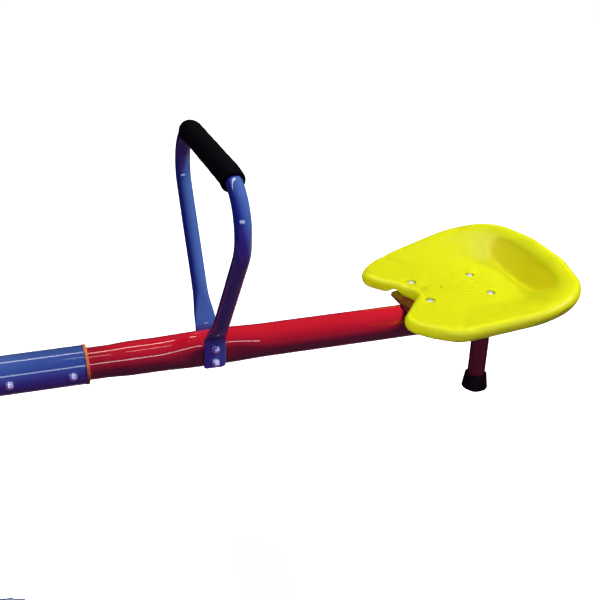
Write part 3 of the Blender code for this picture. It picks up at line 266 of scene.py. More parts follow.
def foam(name, first, second):
    """Black closed-cell foam, its skin broken by fine pores, with shade painted into their pits."""
    look = Look(name, 0.95, Specular_IOR_Level=0.05)
    pores = look.spread(look.cells(620.0), 0.0, 0.45, 0.0, 1.0)
    # Darker colour at the pores' pits is painted shade, where the bump makes its hollows.
    look.colour(look.blend(pores, first, second))
    look.bump(pores, 0.45, 0.0005)
    look.bump(look.noise(90.0, 4.0), 0.30, 0.0006)
    return look.material


def plated(name, first, second, roughness, scale, stretch=None, metal=1.0):
    """Plated or drawn steel: uneven tint and a fine scratch pattern."""
    look = Look(name, roughness, Metallic=metal)
    tint = look.spread(look.noise(scale / 6.0, 3.0), 0.3, 0.7, 0.0, 1.0)
    look.colour(look.blend(tint, first, second))
    look.roughness(look.spread(look.noise(scale, 5.0, stretch), 0.3, 0.7, roughness - 0.06, roughness + 0.10))
    look.bump(look.noise(2.0 * scale, 3.0, stretch), 0.08, 0.0002)
    return look.material


LOOKS = {
    "blue_enamel": enamel(
        "blue enamel", (0.052, 0.108, 0.245), (0.058, 0.118, 0.265), (0.08, 0.14, 0.30), coat=0.085,
    ),
    "red_enamel": enamel("red enamel", (0.470, 0.005, 0.012), (0.510, 0.006, 0.015), (0.55, 0.03, 0.04)),
    "yellow_plastic": moulded(
        "yellow plastic", (0.70, 0.73, 0.0015), (0.73, 0.76, 0.002), 0.36, 900.0,
        # pocket colour: painted shade, the deeper orange the seat's hollow takes from shade and bounced light
        pocket=(1.0, 0.76, 0.0),
        Subsurface_Weight=0.9, Subsurface_Radius=(1.0, 0.95, 0.10), Subsurface_Scale=0.030,
    ),
    "orange_plastic": moulded("orange plastic", (0.90, 0.22, 0.04), (0.94, 0.26, 0.05), 0.38, 900.0),
    "black_plastic": moulded("black plastic", (0.006, 0.006, 0.007), (0.010, 0.010, 0.011), 0.42, 700.0),
    "black_rubber": rubber("black rubber", (0.0020, 0.0020, 0.0024), (0.0050, 0.0050, 0.0055)),
    "black_foam": foam("black foam", (0.0012, 0.0010, 0.0012), (0.0030, 0.0028, 0.0030)),
    "white_nylon": moulded("white nylon", (0.66, 0.65, 0.60), (0.74, 0.73, 0.69), 0.45, 500.0),
    "zinc_plate": plated("zinc plate", (0.66, 0.72, 0.80), (0.76, 0.79, 0.82), 0.22, 900.0, metal=0.45),
    "bright_steel": plated(
        "bright steel", (0.52, 0.52, 0.53), (0.60, 0.59, 0.57), 0.30, 700.0, stretch=(1.0, 1.0, 0.05),
    ),
}


# Shapes


def mesh_object(name, points, faces, sharp=40.0):
    """A smooth shaded mesh with its faces pointing out."""
    mesh = bpy.data.meshes.new(name)
    mesh.from_pydata([tuple(point) for point in points], [], [tuple(face) for face in faces])
    work = bmesh.new()
    work.from_mesh(mesh)
    bmesh.ops.remove_doubles(work, verts=work.verts, dist=1e-7)
    bmesh.ops.recalc_face_normals(work, faces=work.faces)
    work.to_mesh(mesh)
    work.free()
    mesh.shade_smooth()
    mesh.set_sharp_from_angle(angle=math.radians(sharp))
    made = bpy.data.objects.new(name, mesh)
    bpy.context.scene.collection.objects.link(made)
    return made


def rings_to_faces(start, count, sides, loop=False):
    """Quads between rings of points numbered from start."""
    faces = []
    for ring in range(count if loop else count - 1):
        here = start + ring * sides
        there = start + ((ring + 1) % count) * sides
        for i in range(sides):
            j = (i + 1) % sides
            faces.append((here + i, here + j, there + j, there + i))
    return faces


def lathe(name, profile, sides=48, closed=True, sharp=40.0):
    """Turns a profile of (radius, height) about Z."""
    points = []
    for radius, height in profile:
        for i in range(sides):
            angle = 2 * math.pi * i / sides
            points.append((max(radius, 0.0) * math.cos(angle), max(radius, 0.0) * math.sin(angle), height))
    faces = rings_to_faces(0, len(profile), sides, closed)
    return mesh_object(name, points, faces, sharp)


def arc(centre, radius, start, end, steps):
    """Points of an arc in a profile's plane, angles in degrees."""
    result = []
    for i in range(steps + 1):
        angle = math.radians(start + (end - start) * i / steps)
        result.append((centre[0] + radius * math.cos(angle), centre[1] + radius * math.sin(angle)))
    return result


def along(axis, at=(0.0, 0.0, 0.0)):
    """Turns the Z axis on to an axis and moves the origin to a point."""
    turn = Vector((0, 0, 1)).rotation_difference(Vector(axis)).to_matrix().to_4x4()
    return Matrix.Translation(Vector(at)) @ turn


def smoothstep(value):
    """Rises smoothly from 0 to 1 as value does."""
    t = np.clip(value, 0.0, 1.0)
    return t * t * (3.0 - 2.0 * t)


def section(half_thickness, half_width, sides):
    """A round tube's section, or one pressed flat."""
    angles = 2 * math.pi * (np.arange(sides) + 0.5) / sides
    stretch = np.copysign(half_width - half_thickness, np.cos(angles))
    return stretch + half_thickness * np.cos(angles), half_thickness * np.sin(angles)


def sweep(name, stations, wall, sides=48):
    """A hollow tube through stations of (centre, wide axis, thin axis, half thickness, half width)."""
    points = []
    for inset, order in ((0.0, stations), (wall, stations[::-1])):
        for centre, wide, thin, half_thickness, half_width in order:
            across, through = section(half_thickness - inset, half_width - inset, sides)
            points += [centre + wide * float(a) + thin * float(t) for a, t in zip(across, through)]
    return mesh_object(name, points, rings_to_faces(0, 2 * len(stations), sides, True))


def corner_arc(before, corner, after, step):
    """The arc that rounds one corner (x, y, radius)."""
    middle = Vector(corner[:2])
    back = (Vector(before[:2]) - middle).normalized()
    ahead = (Vector(after[:2]) - middle).normalized()
    turn = math.pi - back.angle(ahead)
    radius = corner[2]
    centre = middle + (back + ahead).normalized() * radius / math.cos(turn / 2)
    start = middle + back * radius * math.tan(turn / 2) - centre
    side = 1.0 if (-back).cross(ahead) > 0 else -1.0
    count = max(1, math.ceil(turn / step))
    return [centre + start @ Matrix.Rotation(-side * turn * i / count, 2) for i in range(count + 1)]


def rounded_path(corners, step=math.radians(4.0)):
    """An open path whose corners are rounded with arcs."""
    path = [Vector(corners[0][:2])]
    for before, corner, after in zip(corners, corners[1:], corners[2:]):
        path += corner_arc(before, corner, after, step)
    path.append(Vector(corners[-1][:2]))
    return path


def rounded_outline(corners, step=math.radians(4.0)):
    """A closed outline whose corners are rounded with arcs."""
    count = len(corners)
    outline = []
    for i, corner in enumerate(corners):
        outline += corner_arc(corners[i - 1], corner, corners[(i + 1) % count], step)
    return outline


def resampled(path, spacing, closed=False):
    """The same path with points at about even spacing."""
    points = [Vector(point) for point in path]
    if closed:
        points.append(points[0])
    lengths = [0.0]
    for here, there in zip(points, points[1:]):
        lengths.append(lengths[-1] + (there - here).length)
    count = max(2, round(lengths[-1] / spacing))
    wanted = [lengths[-1] * i / count for i in range(count + (0 if closed else 1))]
    data = np.array(points)
    return [Vector([float(np.interp(w, lengths, data[:, k])) for k in range(data.shape[1])]) for w in wanted]


def headings(path):
    """The direction of a path at each of its points."""
    steps = [(there - here).normalized() for here, there in zip(path, path[1:])]
    return [(before + after).normalized() for before, after in zip(steps[:1] + steps, steps + steps[-1:])]


def slab(name, outline, low, high, edge):
    """A flat plate with rounded edges."""
    count = len(outline)
    points = [(x, y, low) for x, y in outline] + [(x, y, high) for x, y in outline]
    faces = [tuple(range(count)), tuple(range(count, 2 * count))] + rings_to_faces(0, 2, count)
    made = mesh_object(name, points, faces)
    bevel = made.modifiers.new("edges", "BEVEL")
    bevel.width = edge
    bevel.segments = 3
    bevel.limit_method = "ANGLE"
    bevel.angle_limit = math.radians(50.0)
    return made


def apply_modifiers(made):
    """Replaces an object's mesh by its shape with modifiers."""
    bpy.context.view_layer.update()
    shape = made.evaluated_get(bpy.context.evaluated_depsgraph_get())
    old = made.data
    fresh = bpy.data.meshes.new_from_object(shape)
    made.modifiers.clear()
    made.data = fresh
    fresh.name = made.name
    bpy.data.meshes.remove(old)
    return made


def cut(made, *tools):
    """Cuts tools out of a mesh for good."""
    for tool in tools:
        modifier = made.modifiers.new("cut", "BOOLEAN")
        modifier.operation = "DIFFERENCE"
        modifier.solver = "EXACT"
        modifier.object = tool
    apply_modifiers(made)
    for tool in tools:
        mesh = tool.data
        bpy.data.objects.remove(tool)
        bpy.data.meshes.remove(mesh)
    made.data.shade_smooth()
    made.data.set_sharp_from_angle(angle=math.radians(40.0))
    return made


def merged(name, *pieces):
    """One object out of several, each in its own place."""
    work = bmesh.new()
    for piece in pieces:
        mesh = piece.data
        mesh.transform(piece.matrix_world)
        work.from_mesh(mesh)
        bpy.data.objects.remove(piece)
        bpy.data.meshes.remove(mesh)
    mesh = bpy.data.meshes.new(name)
    work.to_mesh(mesh)
    work.free()
    made = bpy.data.objects.new(name, mesh)
    bpy.context.scene.collection.objects.link(made)
    mesh.shade_smooth()
    mesh.set_sharp_from_angle(angle=math.radians(40.0))
    return made


def bead(name, path, radius, closed=True):
    """A weld bead along a path: a tube whose thickness ripples as the weld pool did."""
    sides = 10
    points = []
    count = len(path)
    for i, centre in enumerate(path):
        before = path[i - 1] if closed or i else path[0]
        after = path[(i + 1) % count] if closed or i < count - 1 else path[-1]
        ahead = (after - before).normalized()
        side = ahead.orthogonal().normalized()
        other = ahead.cross(side)
        size = radius * (1.0 + 0.12 * math.sin(i * 2.1) + 0.05 * math.sin(i * 0.7))
        if not closed and i in (0, count - 1):
            size *= 0.15
        for k in range(sides):
            angle = 2 * math.pi * k / sides
            points.append(centre + side * size * math.cos(angle) + other * size * math.sin(angle))
    return mesh_object(name, points, rings_to_faces(0, count, sides, closed))


def dome_bolt(name, shank, head, height, reach, nut=0.0, grip=0.0):
    """A dome-headed bolt, its shank, and a lock nut at its other end."""
    half = head / 2
    profile = [(0.0, height)]
    for turn in np.linspace(0.12, 1.40, 12):
        profile.append((half * math.sin(turn), height * (0.18 + 0.82 * math.cos(turn))))
    profile += [(half, 0.12 * height), (half * 0.985, 0.0), (shank / 2, 0.0)]
    pitch = shank / 6
    turns = int((reach - grip) / pitch) if nut else 0
    z = -grip if nut else -reach
    profile.append((shank / 2, z))
    for _ in range(turns):
        profile += [(shank / 2 * 0.88, z - pitch / 2), (shank / 2, z - pitch)]
        z -= pitch
    profile += [(shank / 2 * 0.8, z), (0.0, z)]
    bolt = lathe(name, profile, 32, False)
    if not nut:
        return bolt
    return merged(name, bolt, lock_nut(shank, nut, -grip))


def hexagon(across, rows):
    """A hexagon with chamfered corners, through rows of (height, share of the corners' radius)."""
    sides = 48
    points = []
    for height, limit in rows:
        for i in range(sides):
            angle = 2 * math.pi * i / sides
            flat = math.cos(math.pi / 6) / math.cos((angle + math.pi / 6) % (math.pi / 3) - math.pi / 6)
            radius = across * min(flat, limit)
            points.append((radius * math.cos(angle), radius * math.sin(angle), height))
    faces = rings_to_faces(0, len(rows), sides)
    faces += [tuple(range(sides)), tuple(range((len(rows) - 1) * sides, len(rows) * sides))]
    return mesh_object("hexagon", points, faces)


def capped_bolt(name, shank, grip):
    """A bolt right through the beam: a cap nut at the near side and a dome head at the far side."""
    nut = hexagon(0.0060, [(0.0, 0.92), (0.0005, 1.0), (0.0036, 1.0), (0.0042, 0.90)])
    crown = [(0.0, 0.0088)]
    for turn in np.linspace(0.15, 1.5, 10):
        crown.append((0.0046 * math.sin(turn), 0.0042 + 0.0046 * math.cos(turn)))
    crown += [(0.0048, 0.0041), (0.0, 0.0041)]
    rod = [(shank / 2, 0.0), (shank / 2, -grip), (0.0, -grip), (0.0, 0.0)]
    head = [(0.0, -grip - 0.0034)]
    for turn in np.linspace(0.12, 1.5, 10):
        head.append((0.0060 * math.sin(turn), -grip - 0.0034 * math.cos(turn)))
    head += [(0.0058, -grip), (0.0, -grip)]
    turned = [lathe(name, profile, sides, False) for profile, sides in ((crown, 40), (rod, 24), (head, 40))]
    return merged(name, nut, *turned)


def lock_nut(shank, height, top):
    """A hexagon nut with chamfered corners and a round collar, hanging down from a height."""
    across = shank * 0.96
    rows = [(0.0, 0.90), (0.10, 1.0), (0.62, 1.0), (0.72, 0.90)]
    pieces = [hexagon(across, [(top - part * height, limit) for part, limit in rows])]
    collar = [(across * 0.84, top - 0.72 * height), (across * 0.80, top - 0.92 * height)]
    collar += [(across * 0.68, top - height), (shank / 2, top - height), (shank / 2, top - 0.72 * height)]
    pieces.append(lathe("nut_collar", collar, 32))
    return merged("nut", *pieces)


# Placing


ENDS = {"right": Matrix.Translation((0, 0, AXIS_HEIGHT))}
ENDS["left"] = ENDS["right"] @ Matrix.Rotation(math.pi, 4, "Z")


def place(made, name, look, body, matrix, *nodes):
    """Names a piece, gives it its look, and makes it ride and stand for its solids."""
    made.name = name
    made.matrix_world = matrix
    made.data.materials.clear()
    made.data.materials.append(LOOKS[look])
    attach(made, body)
    if nodes:
        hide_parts(*nodes)
    return made


def copy_of(made, name):
    """Another object with the same mesh."""
    other = bpy.data.objects.new(name, made.data)
    bpy.context.scene.collection.objects.link(other)
    return other


def place_both(made, kind, look, local=Matrix(), node=None):
    """Puts a piece at the right end and a copy at the left end, each for its end's node, if any."""
    made.data.transform(local)
    other = copy_of(made, kind)
    for end, piece in (("right", made), ("left", other)):
        nodes = [f"{end}_{node}"] if node else []
        place(piece, f"{end}_{kind}_look", look, "beam", ENDS[end], *nodes)
    return made, other


# Beam: arm, collar and centre tube


def arm_section(x):
    """The arm's radius and half thickness at a distance from the middle of the beam."""
    grown = float(smoothstep((x - SWAGE_START_X) / SWAGE_LENGTH))
    radius = ARM_SWAGED_RADIUS + (ARM_RADIUS - ARM_SWAGED_RADIUS) * grown
    away = (abs(x - HANDLE_X) - PRESSED_LENGTH / 2) / PRESSED_BLEND
    return radius, PRESSED_HALF + (radius - PRESSED_HALF) * float(smoothstep(away))


def pressed_width(radius, half_thickness):
    return half_thickness + math.pi / 2 * (radius - half_thickness)


def make_arm():
    stations = []
    for x in np.linspace(ARM_INNER_X, ARM_END_X, 100):
        radius, half = arm_section(float(x))
        width = pressed_width(radius, half)
        stations.append((Vector((float(x), 0, 0)), Vector((0, 0, 1)), Vector((0, 1, 0)), half, width))
    return sweep("arm", stations, ARM_WALL, 56)


def make_centre():
    wide, thin = Vector((0, 0, 1)), Vector((0, 1, 0))
    lip = 0.0005
    spots = [(-CENTRE_HALF, lip), (-CENTRE_HALF + lip, 0.0), (CENTRE_HALF - lip, 0.0), (CENTRE_HALF, lip)]
    stations = [(Vector((x, 0, 0)), wide, thin, CENTRE_RADIUS - less, CENTRE_RADIUS - less) for x, less in spots]
    return sweep("centre", stations, CENTRE_WALL, 96)


def make_collar():
    outer, rim = 0.0247, 0.0281
    bore = 0.0231
    face = CENTRE_HALF + GAP
    width = 0.0046
    round_edge = 0.0012
    profile = [(bore, 0.106), (outer, 0.106), (outer, face), (rim - 0.0004, face), (rim, face + 0.0004)]
    profile += arc((rim - round_edge, face + width - round_edge), round_edge, 0.0, 90.0, 5)
    profile += arc((bore + 0.0006, face + width - 0.0006), 0.0006, 90.0, 180.0, 3)
    return lathe("collar", profile, 96)


place_both(make_arm(), "arm", "red_enamel", node="arm")
place_both(make_collar(), "collar", "orange_plastic", along((1, 0, 0)), node="collar")
place(make_centre(), "centre_tube_look", "blue_enamel", "beam", ENDS["right"], "centre_tube")


# Handles


def handle_half_path():
    """The centre line from a strap's lower end to the middle of the grip, in Y and Z."""
    lean = math.radians(32.9)
    elbow_y, elbow_z = 0.050, 0.055
    top_y = elbow_y + (HANDLE_HEIGHT - elbow_z) * math.tan(lean)
    corners = [
        (STRAP_Y, -0.020, 0),
        (STRAP_Y, 0.025, 0.014),
        (elbow_y, elbow_z, 0.090),
        (top_y, HANDLE_HEIGHT, 0.061),
        (0.0, HANDLE_HEIGHT, 0),
    ]
    return resampled(rounded_path(corners, math.radians(3.0)), 0.0060)


def corner_loss(distance, radius):
    """How much a rounded corner takes off an edge at a distance from the end."""
    away = max(0.0, 1.0 - distance / radius)
    return radius * (1.0 - math.sqrt(max(0.0, 1.0 - away * away)))


def make_handle():
    path = handle_half_path()
    first = (path[1] - path[0]).normalized()
    path = [path[0] + first * step for step in (0.0, 0.0002, 0.0006, 0.0012, 0.0020, 0.0028)] + path[1:]
    travelled = 0.0
    stations = []
    for before, point, ahead in zip(path[:1] + path, path, headings(path)):
        travelled += (point - before).length
        opened = float(smoothstep((travelled - STRAP_LENGTH) / STRAP_FLARE))
        half = STRAP_HALF + (TUBE_RADIUS - STRAP_HALF) * opened
        square, rounded = corner_loss(travelled, 0.0010), corner_loss(travelled, 0.0036)
        width = pressed_width(TUBE_RADIUS, half) - (square + rounded) / 2
        centre = Vector(((square - rounded) / 2, point.x, point.y))
        across = Vector((0, -ahead.y, ahead.x))
        stations.append((centre, Vector((1, 0, 0)), across, half, width))
    mirrored = []
    for centre, wide, across, half, width in reversed(stations[:-1]):
        flipped = Vector((centre.x, -centre.y, centre.z))
        mirrored.append((flipped, wide, Vector((0, -across.y, across.z)), half, width))
    handle = sweep("handle", stations + mirrored, TUBE_WALL, 40)
    for vertex in handle.data.vertices:
        if vertex.co.z < -0.0165:
            vertex.co.z += 0.0010 * (vertex.co.x / 0.0158) ** 2 * (-0.0165 - vertex.co.z) / 0.0035
    return handle


def make_grip():
    """The foam sleeve follows the tube on to its bends, where its inside bulges a little."""
    half_line = [Vector((0, point.x, point.y)) for point in handle_half_path()[::-1]]
    line = np.array([Vector((0, -point.y, point.z)) for point in half_line[:0:-1]] + half_line)
    run = np.concatenate([[0.0], np.cumsum(np.linalg.norm(np.diff(line, axis=0), axis=1))])
    run -= run[-1] / 2

    def spot(distance):
        return np.array([np.interp(distance, run, line[:, k]) for k in range(3)])

    edge = 0.0038
    low = GRIP_RADIUS - 0.0004
    bore = TUBE_RADIUS + 0.0002
    profile = [(bore, GRIP_HALF - 0.0010), (bore + 0.0008, GRIP_HALF - 0.0001)]
    profile += arc((low - edge, GRIP_HALF - edge), edge, 88.0, 2.0, 8)
    for part in np.linspace(0.95, -0.95, 59):
        wave = 0.00012 * math.sin(part * 23.0) + 0.00010 * math.sin(part * 9.0 + 1.0)
        profile.append((low + wave, float(part) * (GRIP_HALF - edge)))
    profile += arc((low - edge, -GRIP_HALF + edge), edge, -2.0, -88.0, 8)
    profile += [(bore + 0.0008, -GRIP_HALF + 0.0001), (bore, -GRIP_HALF + 0.0010)]
    sides = 56
    points = []
    for radius, distance in profile:
        centre = spot(distance)
        ahead = spot(distance + 0.003) - spot(distance - 0.003)
        ahead /= np.linalg.norm(ahead)
        across = np.array((0.0, -ahead[2], ahead[1]))
        bulge = 0.0008 * float(smoothstep((abs(distance) - 0.080) / 0.022)) if radius > bore + 0.001 else 0.0
        for i in range(sides):
            angle = 2 * math.pi * i / sides
            size = radius + bulge * max(0.0, -math.sin(angle))
            points.append(centre + np.array((size * math.cos(angle), 0, 0)) + across * size * math.sin(angle))
    return mesh_object("grip", points, rings_to_faces(0, len(profile), sides, True))


at_handle = Matrix.Translation((HANDLE_X, 0, 0))
place_both(make_handle(), "handle", "blue_enamel", at_handle, node="handle")
grips = place_both(make_grip(), "grip", "black_foam", at_handle, node="grip")


# Seats


def seat_outline():
    """The seat from above: the notch, the right side, the rear and the left side."""
    half = [
        (-0.1145, 0.0760, 0.028),
        (-0.0719, 0.1348, 0.120),
        (0.0664, 0.1576, 0.1276),
        (0.1392, 0.1397, 0.077),
        (0.1618, 0.0421, 0.157),
    ]
    corners = [(-0.0510, 0.0, 0.026)] + [(x, -y, r) for x, y, r in half] + half[::-1]
    return resampled(rounded_outline(corners, math.radians(2.0)), 0.0045, True)


OUTLINE = seat_outline()
OUTLINE_ARRAY = np.array(OUTLINE)


def rim_height(x):
    return SEAT_PAN + 0.0006 + 0.206 * np.maximum(0.0, x + 0.052)


def pocket_share(x, y):
    """How deep in the pocket a spot is: a bean behind the pan, bent along the rear rim."""
    across = (x + POCKET_BEND * y * y - POCKET_X) / POCKET_HALF
    return smoothstep((1.30 - across ** 2 - (y / POCKET_REACH) ** 4) / 0.95)


def seat_height(share, rim, spots):
    """The seat's upper surface at a share of the way from its middle to the rim's crest."""
    rise = smoothstep((share - SEAT_LEVEL_SHARE) / (1.0 - SEAT_LEVEL_SHARE))
    return SEAT_PAN + (rim - SEAT_PAN) * rise - 0.0022 * pocket_share(spots[:, 0], spots[:, 1])


def turned_at(name, profile, sides, spots, closed=True):
    """The same turned form, upright at each of some spots."""
    pieces = []
    for x, y in spots:
        piece = lathe(name, profile, sides, closed)
        piece.data.transform(Matrix.Translation((x, y, 0)))
        pieces.append(piece)
    return pieces


def make_seat():
    """The shell: rows of points from the skirt's inner foot over the rim to the pan, and back below."""
    count = len(OUTLINE)
    inward = []
    for i in range(count):
        edge = OUTLINE[(i + 1) % count] - OUTLINE[i - 1]
        inward.append(Vector((-edge.y, edge.x)).normalized())
    inward = np.array(inward)
    x, y = OUTLINE_ARRAY[:, 0], OUTLINE_ARRAY[:, 1]
    rim = rim_height(x)
    scallop = (x < 0.0) * smoothstep(1.0 - np.abs(np.abs(y) - 0.030) / 0.013)
    skirt = SEAT_SKIRT - 0.0088 * scallop
    rows = []

    def row(inset, drop):
        spots = OUTLINE_ARRAY + inward * inset
        rows.append(np.column_stack([spots, rim - drop]))

    curl = 0.0030
    row(curl + SEAT_WALL * 0.9, skirt - 0.0005)
    row(curl + SEAT_WALL * 0.5, skirt)
    for part in (1.0, 0.9, 0.75, 0.55, 0.3):
        row(curl * part ** 2.5, SEAT_EDGE + (skirt - 0.0003 - SEAT_EDGE) * part)
    for angle in np.linspace(0.0, 90.0, 10):
        turn = math.radians(float(angle))
        row(SEAT_EDGE * (1 - math.cos(turn)), SEAT_EDGE * (1 - math.sin(turn)))
    crest = OUTLINE_ARRAY + inward * SEAT_EDGE
    middle = np.array((0.040, 0.0))
    rising = np.linspace(1.0, SEAT_LEVEL_SHARE, 44)[1:]
    level = np.linspace(SEAT_LEVEL_SHARE, 0.0, 7)[1:-1]
    for share in np.concatenate([rising, level]):
        spots = middle + (crest - middle) * share
        rows.append(np.column_stack([spots, seat_height(share, rim, spots)]))
    top_count = len(rows)
    for share in np.linspace(0.08, 0.96, 19):
        spots = middle + (crest - middle) * share
        rows.append(np.column_stack([spots, seat_height(share, rim, spots) - SEAT_WALL]))
    row(SEAT_EDGE, SEAT_WALL)
    for angle in np.linspace(80.0, 0.0, 5):
        turn = math.radians(float(angle))
        inner = SEAT_EDGE - SEAT_WALL
        row(SEAT_WALL + inner * (1 - math.cos(turn)), SEAT_WALL + inner * (1 - math.sin(turn)))
    points = np.concatenate(rows).tolist()
    centre_top = len(points)
    points.append([*middle, SEAT_PAN])
    points.append([*middle, SEAT_PAN - SEAT_WALL])
    faces = rings_to_faces(0, top_count, count)
    faces += rings_to_faces(top_count * count, len(rows) - top_count, count)
    last = (len(rows) - 1) * count
    faces += [(i, (i + 1) % count, last + (i + 1) % count, last + i) for i in range(count)]
    for start, centre in (((top_count - 1) * count, centre_top), (top_count * count, centre_top + 1)):
        faces += [(start + i, start + (i + 1) % count, centre) for i in range(count)]
    seat = mesh_object("seat", points, faces, 55.0)
    floor, above = SEAT_PAN - 0.003, SEAT_PAN + 0.003
    recess = [(0.0, floor), (0.0072, floor), (0.0095, above), (0.0, above)]
    tools = turned_at("recess", recess, 40, SEAT_BOLTS, False)
    pitch = 0.0268
    drains = [(side * pitch / 2, row_y) for row_y in (-0.0285, 0.0355) for side in (-1, 1)]
    drains += [(number * pitch, 0.0045) for number in (-1.5, -0.5, 0.5, 1.5)]
    low, lip, above = SEAT_PAN - 0.008, SEAT_PAN - 0.0008, SEAT_PAN + 0.0004
    drain = [(0.0, low), (0.0019, low), (0.0019, lip), (0.0030, above), (0.0, above)]
    tools += turned_at("drain", drain, 20, drains, False)
    return cut(seat, *tools)


at_seat = Matrix.Translation((SEAT_X, 0, 0))
place_both(make_seat(), "seat", "yellow_plastic", at_seat, node="seat")


def make_seat_bosses():
    """The bosses and ribs under the pan."""
    low = PLATE_TOP + GAP
    boss = [(0.0042, low), (0.0090, low), (0.0100, SEAT_PAN - 0.002), (0.0042, SEAT_PAN - 0.004)]
    pieces = turned_at("boss", boss, 32, SEAT_BOLTS)
    for x in (-0.04865, 0.04865):
        outline = [(x - 0.0015, -0.024), (x + 0.0015, -0.024), (x + 0.0015, 0.024), (x - 0.0015, 0.024)]
        pieces.append(apply_modifiers(slab("rib", outline, PLATE_TOP + 0.001, SEAT_PAN - 0.003, 0.0004)))
    for y in (-0.072, 0.072):
        outline = [(-0.03, y - 0.0013), (0.065, y - 0.0013), (0.065, y + 0.0013), (-0.03, y + 0.0013)]
        pieces.append(apply_modifiers(slab("rib", outline, SEAT_PAN - 0.011, SEAT_PAN - 0.0015, 0.0004)))
    return merged("bosses", *pieces)


place_both(make_seat_bosses(), "seat_bosses", "yellow_plastic", at_seat)


def rectangle(half_x, half_y, radius):
    """The corners of a rectangle, each with its rounding."""
    return [(x * half_x, y * half_y, radius) for x, y in ((-1, -1), (1, -1), (1, 1), (-1, 1))]


def make_seat_plate():
    outline = rounded_outline(rectangle(0.078, 0.045, 0.010), math.radians(8.0))
    plate = apply_modifiers(slab("plate", outline, PLATE_BOTTOM, PLATE_TOP, 0.0008))
    beads = []
    for side in (-1, 1):
        ends = [Vector((x, side * 0.0085, 0.0229)) for x in (-0.075, 0.075)]
        path = resampled(ends, 0.0022)
        beads.append(bead("plate_weld", path, 0.0022, False))
    return merged("seat_plate", plate, *beads)


place_both(make_seat_plate(), "seat_plate", "red_enamel", at_seat, node="seat_plate")


# Bumper legs


def make_bumper_leg():
    outer = 0.0135
    inner = outer - 0.0015
    bottom = BUMPER_LOW + 0.0083
    sides = 64
    points = []
    for radius, top in ((outer, False), (outer, True), (inner, True), (inner, False)):
        for i in range(sides):
            angle = 2 * math.pi * i / sides
            x, y = radius * math.cos(angle), radius * math.sin(angle)
            z = -math.sqrt((ARM_RADIUS + 0.0002) ** 2 - y * y) if top else bottom
            points.append((x, y, z))
    leg = mesh_object("bumper_leg", points, rings_to_faces(0, 4, sides, True))
    path = []
    for i in range(90):
        angle = 2 * math.pi * i / 90
        x, y = (outer + 0.0006) * math.cos(angle), (outer + 0.0006) * math.sin(angle)
        path.append(Vector((x, y, -math.sqrt((ARM_RADIUS + 0.0006) ** 2 - y * y))))
    return merged("bumper_leg", leg, bead("bumper_weld", path, 0.0019))


def make_bumper_foot():
    low, high = BUMPER_LOW, BUMPER_HIGH
    bore = 0.0137
    profile = [(0.0, low), (0.0050, low + 0.0001), (0.0095, low + 0.0010), (0.0130, low + 0.0027)]
    profile += [(0.0160, low + 0.0048), (0.0180, low + 0.0066)]
    profile += arc((0.0186, low + 0.0084), 0.0014, -50.0, 20.0, 5)
    for part in np.linspace(0.05, 1.0, 10):
        profile.append((0.0198 - 0.0028 * part, low + 0.0095 + 0.0200 * part))
    profile += arc((0.0155, high - 0.0015), 0.0015, 0.0, 90.0, 5)
    profile += [(bore + 0.0004, high), (bore, high - 0.0005), (bore, low + 0.008), (0.0, low + 0.008)]
    return lathe("bumper_foot", profile, 64, False)


at_bumper = Matrix.Translation((BUMPER_X, 0, 0))
place_both(make_bumper_leg(), "bumper_leg", "red_enamel", at_bumper, node="bumper_leg")
place_both(make_bumper_foot(), "bumper_foot", "black_rubber", at_bumper, node="bumper_foot")


def make_arm_plug():
    profile = [(0.0, 0.0033), (0.012, 0.0031)] + arc((0.0228, 0.0018), 0.0013, 80.0, 0.0, 5)
    profile += [(0.0241, GAP), (0.0222, GAP), (0.0220, -0.018), (0.0200, -0.018), (0.0200, GAP), (0.0, GAP)]
    return lathe("arm_plug", profile, 64, False)


place_both(make_arm_plug(), "arm_plug", "black_plastic", along((1, 0, 0), (ARM_END_X, 0, 0)), node="arm_plug")


# Bolts of the beam


def place_bolts(kind, made, spots, matrix_of):
    for number, spot in enumerate(spots, 1):
        piece = made if number == 1 else copy_of(made, kind)
        local = matrix_of(spot)
        other = copy_of(made, kind)
        for end, bolt in (("right", piece), ("left", other)):
            name = f"{end}_{kind}_{number}"
            place(bolt, f"{name}_look", "zinc_plate", "beam", ENDS[end] @ local, name)


sleeve_face = CENTRE_RADIUS + 0.0001
place_bolts(
    "sleeve_bolt",
    capped_bolt("sleeve_bolt", 0.006, 2 * sleeve_face),
    (0.201, 0.116),
    lambda x: along((0, -1, 0), (x, -sleeve_face, 0)),
)
strap_face = 0.0258
place_bolts(
    "handle_bolt",
    capped_bolt("handle_bolt", 0.006, 2 * strap_face),
    (-0.0112, 0.0112),
    lambda z: along((0, -1, 0), (HANDLE_X, -strap_face, z)),
)
seat_face = SEAT_PAN - 0.003 + GAP
seat_grip = seat_face - PLATE_BOTTOM
place_bolts(
    "seat_bolt",
    dome_bolt("seat_bolt", 0.006, 0.0084, 0.0022, seat_grip + 0.008, 0.0055, seat_grip),
    SEAT_BOLTS,
    lambda spot: Matrix.Translation((SEAT_X + spot[0], spot[1], seat_face)),
)


# Yoke


